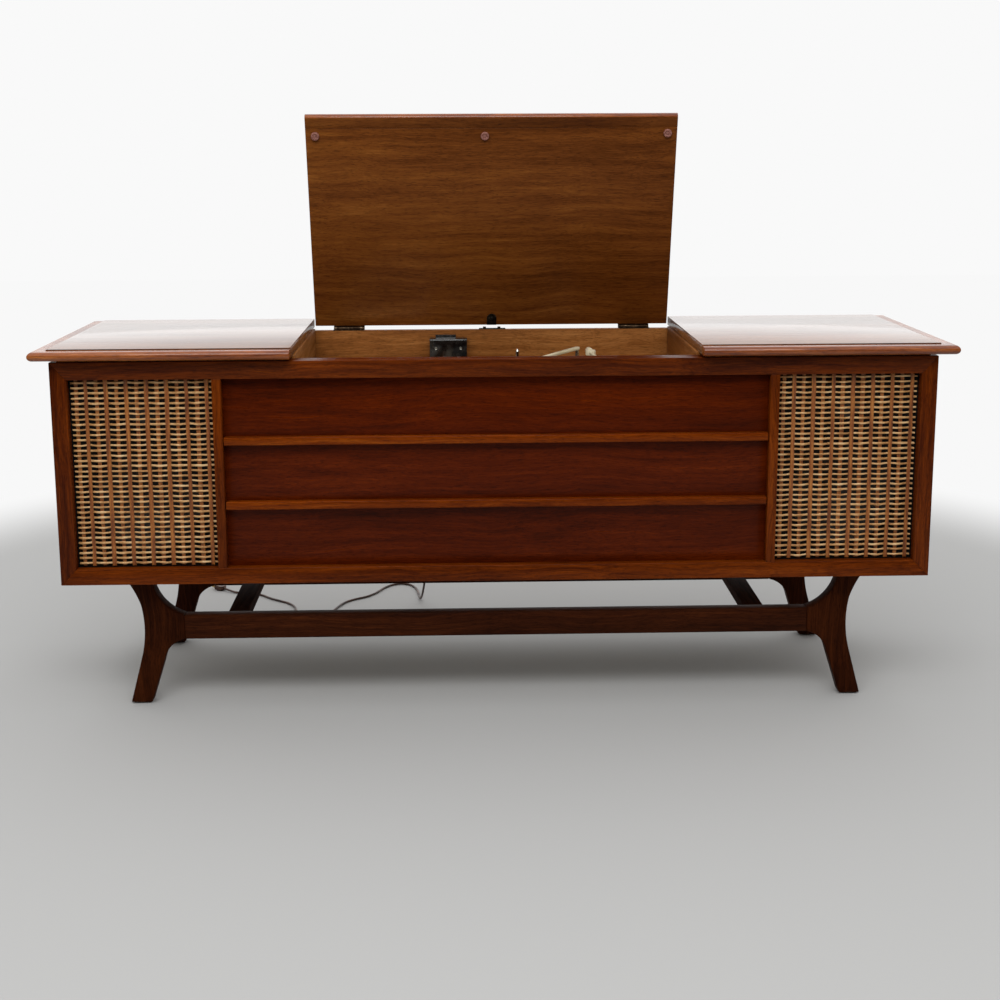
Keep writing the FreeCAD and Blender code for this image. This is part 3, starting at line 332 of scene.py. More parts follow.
def walnut(name, grain, palette, gloss, seed, figure=1.0, shine=0.08, coat=0.0):
    """Lacquered walnut: slow tone changes, streaks of growth, fine fibre and open pores.

    palette is five hex colours from the darkest streak to the palest, figure widens the
    streaks, and shine and coat set how much the lacquer reflects.
    """
    made, tree, bsdf = material(name, {"IOR": 1.5, "Specular IOR Level": shine, "Coat Weight": coat,
                                       "Coat Roughness": 0.16})
    place = add(tree, "TexCoord")
    turned = add(tree, "Mapping", {"vector_type": "POINT"}, {
        "Vector": place.outputs["Object"], "Rotation": GRAIN_TURN[grain],
        "Location": (seed, seed * 0.7, seed * 0.3)})
    # The streaks wander by a few millimetres over a hand's length.
    drift = add(tree, "TexNoise", None, {"Vector": turned.outputs["Vector"], "Scale": 3.2, "Detail": 2.0})
    wander = add(tree, "VectorMath", {"operation": "MULTIPLY_ADD"}, {
        0: drift.outputs["Color"], 1: (0.0, 0.045, 0.045), 2: turned.outputs["Vector"]})
    layers = {}
    # Millimetres along and across the grain, octaves, and roughness of each layer.
    for layer, long_mm, across_mm, detail, rough in (
            ("tone", 620, 70 * figure, 3.0, 0.5), ("streak", 420, 7 * figure, 5.0, 0.62),
            ("fibre", 55, 2.6, 3.0, 0.6), ("pore", 16, 1.1, 1.0, 0.5)):
        spread = add(tree, "VectorMath", {"operation": "MULTIPLY"}, {
            0: wander.outputs["Vector"], 1: (1000 / long_mm, 1000 / across_mm, 1000 / across_mm)})
        layers[layer] = add(tree, "TexNoise", None, {
            "Vector": spread.outputs["Vector"], "Scale": 1.0, "Detail": detail, "Roughness": rough})
    broad = add(tree, "Mix", {"data_type": "FLOAT"}, {
        "Factor": 0.52, "A": layers["tone"].outputs["Fac"], "B": layers["streak"].outputs["Fac"]})
    wood = add(tree, "Mix", {"data_type": "FLOAT"}, {
        "Factor": 0.24, "A": broad.outputs["Result"], "B": layers["fibre"].outputs["Fac"]})
    # The five shades are spread over this part of the mixed noise.
    low, high = 0.33, 0.66
    shades = [(low + (high - low) * share, colour)
              for share, colour in zip((0, 0.28, 0.5, 0.74, 1), palette)]
    colour = add(tree, "ValToRGB", None, {"Fac": wood.outputs["Result"]}, shades)
    pores = add(tree, "MapRange", None, {
        "Value": layers["pore"].outputs["Fac"], "From Min": 0.36, "From Max": 0.45,
        "To Min": 0.62, "To Max": 1.0})
    filled = add(tree, "VectorMath", {"operation": "SCALE"}, {
        0: colour.outputs["Color"], "Scale": pores.outputs["Result"]})
    tree.links.new(filled.outputs["Vector"], bsdf.inputs["Base Color"])
    sheen = add(tree, "MapRange", None, {
        "Value": layers["streak"].outputs["Fac"], "From Min": 0.3, "From Max": 0.7,
        "To Min": gloss + 0.05, "To Max": gloss - 0.04})
    tree.links.new(sheen.outputs["Result"], bsdf.inputs["Roughness"])
    dents = add(tree, "Bump", None, {
        "Height": pores.outputs["Result"], "Strength": 0.12, "Distance": 0.0004})
    tree.links.new(dents.outputs["Normal"], bsdf.inputs["Normal"])
    return made


def eased(node, name, finish, radius, sharp=0.5, ends=None):
    """A piece cut to its CAD node's shape, with its edges sanded round.

    ends picks the finish of a face whose wood runs another way, by the face's middle.
    """
    form = bmesh.new()
    form.from_mesh(frame["nodes"][node].data)
    bmesh.ops.remove_doubles(form, verts=form.verts, dist=1e-5)
    bmesh.ops.dissolve_limit(form, angle_limit=radians(0.5), verts=form.verts, edges=form.edges)
    edges = [e for e in form.edges if e.is_manifold and e.calc_face_angle() > sharp]
    bmesh.ops.bevel(form, geom=edges, offset=radius, offset_type="OFFSET", segments=2, profile=0.5,
                    affect="EDGES", clamp_overlap=True, material=-1)
    if ends:
        for face in form.faces:
            face.material_index = ends(face.calc_center_median())
    body = frame["nodes"][node]["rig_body"]
    return settle(name, form, finish, body, slot_of[node], node)


# The frame is red-brown: dark between streaks, orange where the light wood shows.
FRAME_STAIN = ("#321101", "#491902", "#5d2503", "#713005", "#863f09")
rail_walnut = walnut("lacquered_walnut_rail", "X", FRAME_STAIN, 0.30, 3.0)
stile_walnut = walnut("lacquered_walnut_stile", "Z", FRAME_STAIN, 0.32, 7.0)
ARRIS = 0.0009
for node, finish in (("frame_top_rail", rail_walnut), ("frame_bottom_rail", rail_walnut),
                     ("frame_stile_left", stile_walnut), ("frame_stile_right", stile_walnut)):
    eased(node, f"{node}_walnut", finish, ARRIS)
eased("divider_stiles", "divider_stiles_walnut", stile_walnut, ARRIS)

# ---------------------------------------------------- the front panel and strips
# One veneered board, dark and close-grained, fills the middle of the front.
# Two solid strips with rounded arrises are glued across it.
PANEL_STAIN = ("#330d00", "#451401", "#521901", "#5f2002", "#702a03")
panel_veneer = walnut("walnut_veneer_front", "X", PANEL_STAIN, 0.30, 11.0, figure=1.6)
eased("front_panel", "front_panel_veneer", panel_veneer, 0.0005)
STRIP_STAIN = ("#3e1401", "#572001", "#6b2a02", "#7e3604", "#934609")
strip_walnut = walnut("lacquered_walnut_strip", "X", STRIP_STAIN, 0.26, 15.0)
eased("front_strips", "front_strips_walnut", strip_walnut, 0.0014)

# ------------------------------------------------------------ the case's shell
# Veneered sides, a core-stock bottom and battens, and plywood walls round the well.
# They are housed and glued behind the front frame.
SIDE_STAIN = ("#301102", "#441b04", "#552406", "#682e09", "#7c3c10")
side_veneer = walnut("walnut_veneer_side", "Z", SIDE_STAIN, 0.30, 19.0, figure=1.4)
for side in ("left", "right"):
    eased(f"side_panel_{side}", f"side_panel_{side}_veneer", side_veneer, 0.0007)

# Stained birch plywood: paler and plainer than the walnut outside, thin lacquer.
PLY_STAIN = ("#5e3514", "#78461e", "#8b5527", "#9e6634", "#b27843")
ply_level = walnut("stained_birch_plywood_level", "X", PLY_STAIN, 0.42, 23.0, figure=1.8)
ply_deep = walnut("stained_birch_plywood_deep", "Y", PLY_STAIN, 0.42, 27.0, figure=1.8)
for side in ("left", "right"):
    eased(f"well_side_{side}", f"well_side_{side}_ply", ply_deep, 0.0010)
eased("well_back", "well_back_ply", ply_level, 0.0010)

# Sealed poplar core stock: pale, greenish, open streaks, no lacquer.
POPLAR_STAIN = ("#5d4a2e", "#7a6440", "#8f7850", "#a38c62", "#b7a27a")
poplar = walnut("sawn_poplar_core", "X", POPLAR_STAIN, 0.62, 31.0, figure=2.2)


def dress(finish, *nodes):
    """Gives CAD nodes that stay as they are their finish."""
    for node in nodes:
        slots = frame["nodes"][node].data.materials
        slots.clear()
        slots.append(finish)


dress(poplar, "bottom_panel", "top_spacers")

# -------------------------------------------------------------------- the back
# Tempered hardboard, smooth side out, punched with vent holes over the amplifier
# and held by pan-head screws with washers.
FIBRE_MM = 4
hardboard, tree, bsdf = material("tempered_hardboard", {"Roughness": 0.62, "IOR": 1.5})
place = add(tree, "TexCoord")
fluff = add(tree, "TexNoise", None, {
    "Vector": place.outputs["Object"], "Scale": 1000 / FIBRE_MM, "Detail": 5.0, "Roughness": 0.7})
cloud = add(tree, "TexNoise", None, {"Vector": place.outputs["Object"], "Scale": 5.0, "Detail": 3.0})
mixed = add(tree, "Mix", {"data_type": "FLOAT"}, {
    "Factor": 0.8, "A": cloud.outputs["Fac"], "B": fluff.outputs["Fac"]})
tone = add(tree, "ValToRGB", None, {"Fac": mixed.outputs["Result"]},
           [(0.36, "#3b2517"), (0.5, "#553824"), (0.64, "#6f4d35")])
grit = add(tree, "Bump", None, {"Height": fluff.outputs["Fac"], "Strength": 0.18, "Distance": 0.0005})
tree.links.new(tone.outputs["Color"], bsdf.inputs["Base Color"])
tree.links.new(grit.outputs["Normal"], bsdf.inputs["Normal"])
dress(hardboard, "back_panel")

# Zinc-plated steel: grey with a faint yellow cast and soft blotches.
zinc, tree, bsdf = material("zinc_plated_steel", {"Metallic": 1.0, "Roughness": 0.36})
place = add(tree, "TexCoord")
bloom = add(tree, "TexNoise", None, {"Vector": place.outputs["Object"], "Scale": 90.0, "Detail": 4.0})
tone = add(tree, "ValToRGB", None, {"Fac": bloom.outputs["Fac"]},
           [(0.35, "#8c8a82"), (0.55, "#b3b1a8"), (0.72, "#cbc8ba")])
dull = add(tree, "MapRange", None, {
    "Value": bloom.outputs["Fac"], "From Min": 0.35, "From Max": 0.7, "To Min": 0.3, "To Max": 0.5})
tree.links.new(tone.outputs["Color"], bsdf.inputs["Base Color"])
tree.links.new(dull.outputs["Result"], bsdf.inputs["Roughness"])


def screw(form, at, head, high, way):
    """Adds a domed screw head with a cross recess; way is the direction it faces."""
    made = bmesh.ops.create_cone(form, cap_ends=True, segments=20, radius1=head, radius2=head * 0.72,
                                 depth=high, matrix=Matrix.Translation((0, 0, high / 2)))
    verts = list(made["verts"])
    top = [f for f in {f for v in verts for f in v.link_faces}
           if f.calc_center_median().z > high * 0.99]
    inner = bmesh.ops.inset_region(form, faces=top, thickness=head * 0.34, depth=0)
    hole = [f for f in form.faces if f in top]
    bmesh.ops.translate(form, vec=(0, 0, -high * 0.45), verts=list({v for f in hole for v in f.verts}))
    verts += [v for f in inner["faces"] for v in f.verts if v not in verts]
    turn = Vector((0, 0, 1)).rotation_difference(Vector(way)).to_matrix().to_4x4()
    bmesh.ops.transform(form, matrix=Matrix.Translation(at) @ turn, verts=list(set(verts)))


back_low, back_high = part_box("back_screws")
SCREW_STEP, SCREW_HEAD, SCREW_HIGH = 0.42, 0.004, 0.0016
form = bmesh.new()
for x in (-2 * SCREW_STEP, -SCREW_STEP, 0, SCREW_STEP, 2 * SCREW_STEP):
    for z in (back_low.z + SCREW_HEAD, back_high.z - SCREW_HEAD):
        screw(form, (x, case_back, z), SCREW_HEAD, SCREW_HIGH, (0, 1, 0))
settle("back_screw_heads", form, zinc, "cabinet", "zinc_steel", "back_screws")

# --------------------------------------------------------- the top and its edging
# Two veneered boards lie on battens, 6 mm clear of the case. Solid edging with a
# round nose is mitred round them, and a fine V shows where it meets the veneer.
TOP_STAIN = ("#4b2a17", "#633a21", "#774a2d", "#8b5a3a", "#a36f4b")
top_veneer = walnut("walnut_veneer_top", "X", TOP_STAIN, 0.24, 35.0, figure=1.5, shine=0.5, coat=0.8)
EDGE_STAIN = ("#522108", "#70320f", "#894419", "#a15824", "#b86e32")
edge_level = walnut("lacquered_walnut_edging_level", "X", EDGE_STAIN, 0.24, 39.0, shine=0.4, coat=0.2)
edge_deep = walnut("lacquered_walnut_edging_deep", "Y", EDGE_STAIN, 0.24, 43.0, shine=0.4, coat=0.2)
V_HALF = 0.0011
edging_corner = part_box("nosing_right")[1].x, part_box("nosing_right")[0].y


def is_end(middle):
    """1 where a face belongs to the end's length of edging, on its side of the mitre."""
    return int(edging_corner[0] - abs(middle.x) < middle.y - edging_corner[1])


# The V is too fine for its own shadow to show, so its wall is painted nearly black: painted shade that
# stands in for that shadow.
GROOVE_PAINTED_SHADE = ("#120906", "#1a0d08", "#22120b", "#2b180f", "#382116")
groove_painted_shade = walnut("painted_shade_groove_wall", "X", GROOVE_PAINTED_SHADE, 0.8, 67.0, shine=0.0)
top_front, top_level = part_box("top_panel_right")[0].y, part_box("top_panel_right")[1].z


def is_groove(middle):
    """1 where a face of a top board lies in the V along its front edge, which takes the painted shade."""
    return int(middle.y < top_front + V_HALF and middle.z > top_level - 1.5 * V_HALF)


for side in ("left", "right"):
    eased(f"top_panel_{side}", f"top_panel_{side}_veneer", [top_veneer, groove_painted_shade], V_HALF,
          ends=is_groove)
    eased(f"nosing_{side}", f"nosing_{side}_edging", [edge_level, edge_deep], 0.0006, ends=is_end)

# ----------------------------------------------------------------------- the lid
# The lid is the middle third of the top: a veneered board with the same nose.
# It stands open, leaning forward, and its underside carries three rubber bumpers.
LID_STAIN = ("#4c2408", "#5f310d", "#6f3c14", "#7f4819", "#935a24")
lid_veneer = walnut("walnut_veneer_lid", "X", LID_STAIN, 0.34, 47.0, figure=1.9)
LID_OPEN = radians(75.65)
lid_hinge = next(j for j in frame["joints"] if j["name"] == "lid_hinge")
lid_place = Matrix.Translation(lid_hinge["pos_m"]) @ Matrix.Rotation(-LID_OPEN, 4, "X")
LID_UNDER = 0.003
LID_THICK = 0.020


def is_outside(middle):
    """1 where a face of the lid lies on its outside, which matches the fixed top boards."""
    flat = lid_place.inverted() @ middle
    return int(flat.z > LID_UNDER + LID_THICK - V_HALF)


eased("lid_panel", "lid_panel_veneer", [lid_veneer, top_veneer], V_HALF, ends=is_outside)


def is_underside(middle):
    """1 where a face of the lid's nosing lies in its underside, which carries the veneer on."""
    flat = lid_place.inverted() @ middle
    return int(abs(flat.z - LID_UNDER) < 0.0004)


eased("lid_nosing", "lid_nosing_edging", [edge_level, lid_veneer], 0.0006, ends=is_underside)

BUMPER_OUT, BUMPER_RADIUS, BUMPER_HIGH = 0.443, 0.009, 0.0056


def ringed(form, rings, at, steps=28):
    """Adds a turned solid: rings are (radius, height) from its foot to its top on the axis."""
    ring = [form.verts.new((radius, 0, height)) for radius, height in rings]
    edges = [form.edges.new(pair) for pair in zip(ring, ring[1:])]
    bmesh.ops.spin(form, geom=ring + edges, cent=(0, 0, 0), axis=(0, 0, 1), angle=2 * pi, steps=steps,
                   use_merge=True, use_normal_flip=False, use_duplicate=False, dvec=(0, 0, 0))
    # The solid is every vertex that is joined to the ring.
    seen, todo = set(ring), list(ring)
    while todo:
        for edge in todo.pop().link_edges:
            for vert in edge.verts:
                if vert not in seen:
                    seen.add(vert)
                    todo.append(vert)
    bmesh.ops.transform(form, matrix=at, verts=list(seen))


# Red-brown rubber, moulded with a ring and a sunk middle, gone a little chalky.
bumper_rubber = mottled("aged_red_brown_rubber", {"Roughness": 0.58, "IOR": 1.5}, 330.0, 4.0,
                        [(0.35, "#7a4a40"), (0.55, "#9a665a"), (0.75, "#b78a7c")])
form = bmesh.new()
flip = Matrix.Rotation(pi, 4, "X")
for x, further in ((-0.381, 0.002), (-0.015, 0.001), (0.381, 0.006)):
    ringed(form, [(0, 0.0001), (BUMPER_RADIUS, 0.0001), (BUMPER_RADIUS, BUMPER_HIGH * 0.7),
                  (BUMPER_RADIUS * 0.9, BUMPER_HIGH * 0.95), (BUMPER_RADIUS * 0.66, BUMPER_HIGH),
                  (BUMPER_RADIUS * 0.5, BUMPER_HIGH * 0.72), (BUMPER_RADIUS * 0.36, BUMPER_HIGH * 0.72),
                  (BUMPER_RADIUS * 0.3, BUMPER_HIGH * 0.88), (0, BUMPER_HIGH * 0.88)],
           lid_place @ Matrix.Translation((x, -BUMPER_OUT - further, LID_UNDER)) @ flip)
bmesh.ops.remove_doubles(form, verts=form.verts, dist=1e-6)
bmesh.ops.recalc_face_normals(form, faces=form.faces)
settle("lid_bumper_buttons", form, bumper_rubber, "lid", "bumper_rubber", "lid_bumpers")

# ------------------------------------------------------- hinges and the lid's stop
# Two plated steel butt hinges, and between them a round-topped plate that is
# screwed to the lid and meets a small seat on the rail when the lid is open.
bronze = mottled("statuary_bronze_plate", {"Metallic": 1.0, "Roughness": 0.4}, 140.0, 5.0,
                 [(0.36, "#2a2019"), (0.56, "#4a3a2c"), (0.72, "#8b7862")])
dress(bronze, "hinge_case_leaves", "lid_hinge_leaves")

dark_steel = mottled("blackened_steel_plate", {"Metallic": 0.8, "Roughness": 0.38}, 210.0, 4.0,
                     [(0.36, "#16130f"), (0.58, "#2a241d"), (0.76, "#5a5044")])
STOP_HALF, STOP_NEAR, STOP_FAR, STOP_THICK = 0.011, 0.005, 0.021, 0.002
form = bmesh.new()
rim = [form.verts.new((x, -STOP_NEAR, 0)) for x in (-STOP_HALF, STOP_HALF)]
ARC_STEPS = 16
for step in range(ARC_STEPS + 1):
    turn = pi * step / ARC_STEPS
    rim.append(form.verts.new((STOP_HALF * cos(turn), -STOP_FAR - STOP_HALF * sin(turn), 0)))
plate = form.faces.new(rim)
made = bmesh.ops.extrude_face_region(form, geom=[plate])
underneath = [g for g in made["geom"] if isinstance(g, bmesh.types.BMVert)]
bmesh.ops.translate(form, vec=(0, 0, -STOP_THICK), verts=underneath)
bmesh.ops.recalc_face_normals(form, faces=form.faces)
bmesh.ops.bevel(form, geom=[e for e in form.edges if e.calc_face_angle(0) > 1], offset=0.0004,
                offset_type="OFFSET", segments=2, profile=0.5, affect="EDGES", clamp_overlap=True,
                material=-1)
# Its screw: a cup washer, a domed head and the slot's floor.
ringed(form, [(0, 0), (0.0055, 0), (0.0055, 0.0006), (0.0038, 0.0008), (0.0036, 0.0016),
              (0.0024, 0.0026), (0.0008, 0.0027), (0.0007, 0.0018), (0, 0.0018)],
       Matrix.Translation((0, -STOP_FAR, -STOP_THICK)) @ flip, steps=20)
bmesh.ops.translate(form, vec=(0, 0, LID_UNDER), verts=form.verts)
bmesh.ops.recalc_face_normals(form, faces=form.faces)
bmesh.ops.transform(form, matrix=lid_place, verts=form.verts)
settle("lid_stop_plate", form, dark_steel, "lid", "zinc_steel", "lid_stop")

# The stop's seat: a low pressed plate on the rail with two turned-up ears.
SEAT_LEFT, SEAT_RIGHT, SEAT_DEEP, SEAT_HIGH = -0.029, 0.031, 0.011, 0.0022
case_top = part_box("frame_top_rail")[1].z
form = bmesh.new()
seat_y = case_back - SEAT_DEEP / 2 - 0.001
bmesh.ops.create_cube(form, size=1, matrix=Matrix.Translation(
    ((SEAT_LEFT + SEAT_RIGHT) / 2, seat_y, case_top + SEAT_HIGH / 2))
    @ Matrix.Diagonal((SEAT_RIGHT - SEAT_LEFT, SEAT_DEEP, SEAT_HIGH, 1)))
EAR_OUT, EAR_WIDE, EAR_HIGH = 0.0165, 0.007, 0.0032
for x in (-EAR_OUT, EAR_OUT):
    bmesh.ops.create_cube(form, size=1, matrix=Matrix.Translation(
        (x, seat_y, case_top + SEAT_HIGH + EAR_HIGH / 2))
        @ Matrix.Diagonal((EAR_WIDE, SEAT_DEEP * 0.8, EAR_HIGH, 1)))
bmesh.ops.bevel(form, geom=list(form.edges), offset=0.0007, offset_type="OFFSET", segments=2, profile=0.5,
                affect="EDGES", clamp_overlap=True, material=-1)
settle("lid_stop_seat", form, dark_steel, "cabinet", "zinc_steel")

# -------------------------------------------------------------- legs and trestle
# Each pair of sawn, spindle-shaped legs is joined by a stretcher, and two rails
# cross between them. All are solid walnut, darker than the case, on nylon glides.
LEG_STAIN = ("#1c0802", "#290f04", "#341506", "#401c09", "#51260e")
leg_walnut = walnut("lacquered_walnut_leg", "Z", LEG_STAIN, 0.55, 51.0, shine=0.03)
bar_walnut = walnut("lacquered_walnut_stretcher", "X", LEG_STAIN, 0.5, 55.0, shine=0.05)
cross_walnut = walnut("lacquered_walnut_cross_rail", "Y", LEG_STAIN, 0.65, 59.0, shine=0.02)
for end in ("front", "rear"):
    for side in ("left", "right"):
        eased(f"leg_{end}_{side}", f"leg_{end}_{side}_walnut", leg_walnut, 0.0022, sharp=0.8)
    eased(f"stretcher_{end}", f"stretcher_{end}_walnut", bar_walnut, 0.0022)
eased("cross_rails", "cross_rails_walnut", cross_walnut, 0.0016)

# Moulded nylon: waxy, grey-brown, scuffed by the floor.
nylon = mottled("moulded_nylon", {"Roughness": 0.5, "IOR": 1.53, "Subsurface Weight": 0.1}, 500.0, 3.0,
                [(0.4, "#4b4439"), (0.66, "#7b7264")])
dress(nylon, "foot_glides")

# ------------------------------------------------------------------- the grilles
# A mat of round reed strands woven through flat stakes: every second stake lies
# in front of all the strands, and the others behind. It is stapled to the baffle.
STRAND_PITCH, STRAND_HIGH, STRAND_THICK = 0.01045, 0.0043, 0.0026
STAKE_PITCH, STAKE_WIDE, STAKE_THICK = 0.0197, 0.0074, 0.0013
STEPS_PER_STAKE = 4
WEAVE_SWING, STRAND_WAVER, STAKE_SWAY = 0.0019, 0.0011, 0.0010


def length_of(name, across, up, thick, at, cuts, axis):
    """A bar with rounded long arrises, cut across into short steps along its axis."""
    made = bmesh.new()
    bmesh.ops.create_cube(made, size=1, matrix=Matrix.Translation(at)
                          @ Matrix.Diagonal((across, thick, up, 1)))
    long_edges = [e for e in made.edges if abs((e.verts[0].co - e.verts[1].co).normalized()[axis]) > 0.9]
    bmesh.ops.bevel(made, geom=long_edges, offset=min(thick, up, across) * 0.42, offset_type="OFFSET",
                    segments=1, profile=0.5, affect="EDGES", clamp_overlap=True, material=-1)
    long_edges = [e for e in made.edges if abs((e.verts[0].co - e.verts[1].co).normalized()[axis]) > 0.9]
    bmesh.ops.subdivide_edges(made, edges=long_edges, cuts=cuts, use_grid_fill=True)
    mesh = bpy.data.meshes.new(name)
    made.to_mesh(mesh)
    made.free()
    return mesh


# Split reed: pale straw to amber along each strand, with a dull waxy light on its
# round top. It looks darker where it dives behind a stake, from shadow alone.
def reed(name, shades, across_mm, along_mm, axis):
    made, tree, bsdf = material(name, {"Roughness": 0.46, "IOR": 1.46})
    place = add(tree, "TexCoord")
    size = [1000 / across_mm] * 3
    size[axis] = 1000 / along_mm
    spread = add(tree, "VectorMath", {"operation": "MULTIPLY"}, {0: place.outputs["Object"], 1: size})
    lot = add(tree, "TexNoise", None, {"Vector": spread.outputs["Vector"], "Scale": 1.0, "Detail": 3.0})
    fibre = add(tree, "TexNoise", None, {"Vector": spread.outputs["Vector"], "Scale": 7.0, "Detail": 2.0})
    mixed = add(tree, "Mix", {"data_type": "FLOAT"}, {
        "Factor": 0.3, "A": lot.outputs["Fac"], "B": fibre.outputs["Fac"]})
    tone = add(tree, "ValToRGB", None, {"Fac": mixed.outputs["Result"]}, shades)
    rough = add(tree, "Bump", None, {"Height": fibre.outputs["Fac"], "Strength": 0.3, "Distance": 0.0004})
    tree.links.new(tone.outputs["Color"], bsdf.inputs["Base Color"])
    tree.links.new(rough.outputs["Normal"], bsdf.inputs["Normal"])
    return made


STRAND_SHADES = [(0.34, "#956436"), (0.46, "#c28e55"), (0.56, "#deb17a"), (0.68, "#edca97")]
FRONT_SHADES = [(0.36, "#663412"), (0.5, "#904f1e"), (0.64, "#b27031")]
# The rear stakes are the same reed as the front ones, painted paler: painted light on the stakes that sit
# behind the strands.
REAR_STAKE_PAINTED_LIGHT = [(0.36, "#753c17"), (0.5, "#a35e26"), (0.64, "#c27d3d")]
strand_reed = reed("split_reed_strand", STRAND_SHADES, 10, 26, 0)
front_reed = reed("flat_reed_stake_front", FRONT_SHADES, 7, 60, 2)
rear_reed_painted_light = reed("flat_reed_stake_rear_painted_light", REAR_STAKE_PAINTED_LIGHT, 7, 60, 2)
luck = random.Random(5)
for side in ("left", "right"):
    low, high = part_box(f"grille_{side}")
    middle_y = (low.y + high.y) / 2
    stakes = round((high.x - low.x) / STAKE_PITCH)
    rows = round((high.z - low.z) / STRAND_PITCH)
    pitch_x = (high.x - low.x) / stakes
    pitch_z = (high.z - low.z) / rows
    strand = length_of("one_strand", high.x - low.x, STRAND_HIGH, STRAND_THICK,
                       ((low.x + high.x) / 2, middle_y, low.z), stakes * STEPS_PER_STAKE - 1, 0)
    form = bmesh.new()
    for row in range(rows):
        old = len(form.verts)
        form.from_mesh(strand)
        form.verts.ensure_lookup_table()
        lift = (row + 0.5) * pitch_z
        fat = luck.uniform(0.86, 1.1)
        for v in form.verts[old:]:
            along = (v.co.x - low.x) / pitch_x
            swing = cos(pi * (along - 0.5))
            waver = noise.noise(Vector((v.co.x * 55, row * 7.3, 0))) * STRAND_WAVER
            v.co.y = middle_y + (v.co.y - middle_y) * fat - WEAVE_SWING * swing
            swell = 1 + 0.14 * cos(2 * pi * (along - 0.5))
            v.co.z = low.z + (v.co.z - low.z) * fat * swell + lift + waver
    bpy.data.meshes.remove(strand)
    settle(f"grille_{side}_strands", form, strand_reed, "cabinet", "woven_reed", f"grille_{side}")
    for kind, first, finish, sink in (("front", 1, front_reed, -1), ("rear", 0, rear_reed_painted_light, 1)):
        stake = length_of("one_stake", STAKE_WIDE, high.z - low.z, STAKE_THICK,
                          (0, 0, (low.z + high.z) / 2), rows * 2 - 1, 2)
        form = bmesh.new()
        for column in range(first, stakes, 2):
            old = len(form.verts)
            form.from_mesh(stake)
            form.verts.ensure_lookup_table()
            x = low.x + (column + 0.5) * pitch_x
            broad = luck.uniform(0.88, 1.12)
            for v in form.verts[old:]:
                tall = (v.co.z - low.z) / pitch_z
                sway = noise.noise(Vector((column * 3.7, 0, v.co.z * 30))) * STAKE_SWAY
                bump = cos(2 * pi * (tall - 0.5))
                v.co.x = x + v.co.x * broad * (1 - 0.08 * bump) + sway
                v.co.y = middle_y + sink * (0.0017 + 0.0003 * bump) + v.co.y
        bpy.data.meshes.remove(stake)
        settle(f"grille_{side}_stakes_{kind}", form, finish, "cabinet", "woven_reed")

# ---------------------------------------------------------------- the speakers
# Painted particle-board baffles carry a woofer and a tweeter each, with paper
# cones in stove-enamelled steel baskets, screwed on from behind.
DUST_MM = 6
# Flat black that drinks the light, with a breath of grey dust.
speaker_paint = mottled(
    "black_baffle_paint", {"Roughness": 0.85, "Specular IOR Level": 0.2}, 1000 / DUST_MM, 4.0,
    [(0.45, "#060505"), (0.8, "#17130f")])
dress(speaker_paint, "speaker_baffles")

cone_paper, tree, bsdf = material("stoved_basket_and_paper_cone", {"Roughness": 0.7})
place = add(tree, "TexCoord")
pulp = add(tree, "TexNoise", None, {"Vector": place.outputs["Object"], "Scale": 420.0, "Detail": 5.0})
tone = add(tree, "ValToRGB", None, {"Fac": pulp.outputs["Fac"]}, [(0.38, "#121110"), (0.66, "#2d2a27")])
felt = add(tree, "Bump", None, {"Height": pulp.outputs["Fac"], "Strength": 0.3, "Distance": 0.0004})
tree.links.new(tone.outputs["Color"], bsdf.inputs["Base Color"])
tree.links.new(felt.outputs["Normal"], bsdf.inputs["Normal"])
dress(cone_paper, "woofers", "tweeters")

# ------------------------------------------------------------ the control panel
# A brushed aluminium plate over the motor board, with a printed dial behind glass
# and three fluted knobs. A cord and drum carry the pointer along the dial.
dress(ply_level, "motor_board")
BRUSH_LONG_MM, BRUSH_WIDE_MM = 70, 0.9
aluminium, tree, bsdf = material("brushed_aluminium", {"Metallic": 1.0, "Anisotropic": 0.5})
place = add(tree, "TexCoord")
brushed = add(tree, "VectorMath", {"operation": "MULTIPLY"}, {
    0: place.outputs["Object"], 1: (1000 / BRUSH_LONG_MM, 1000 / BRUSH_WIDE_MM, 1000 / BRUSH_WIDE_MM)})
line = add(tree, "TexNoise", None, {"Vector": brushed.outputs["Vector"], "Scale": 1.0, "Detail": 3.0})
tone = add(tree, "ValToRGB", None, {"Fac": line.outputs["Fac"]}, [(0.35, "#a9a59c"), (0.65, "#d6d3cb")])
# The brush lines break the light into fine streaks along the plate.
dull = add(tree, "MapRange", None, {
    "Value": line.outputs["Fac"], "From Min": 0.3, "From Max": 0.7, "To Min": 0.26, "To Max": 0.44})
tree.links.new(tone.outputs["Color"], bsdf.inputs["Base Color"])
tree.links.new(dull.outputs["Result"], bsdf.inputs["Roughness"])
dress(aluminium, "control_panel")

window, tree, bsdf = material("drawn_sheet_glass", {"Transmission Weight": 1.0, "IOR": 1.52})
place = add(tree, "TexCoord")
smear = add(tree, "TexNoise", None, {"Vector": place.outputs["Object"], "Scale": 40.0, "Detail": 4.0})
# Clear and flat, a little hazed where it has been wiped.
haze = add(tree, "MapRange", None, {
    "Value": smear.outputs["Fac"], "From Min": 0.45, "From Max": 0.75, "To Min": 0.02, "To Max": 0.12})
tree.links.new(haze.outputs["Result"], bsdf.inputs["Roughness"])
dress(window, "dial_glass")

red_lacquer = mottled("red_lacquered_wire", {"IOR": 1.5}, 300.0, 2.0,
                      [(0.4, "#a51a10"), (0.7, "#c93a28")])
dress(red_lacquer, "dial_pointer")

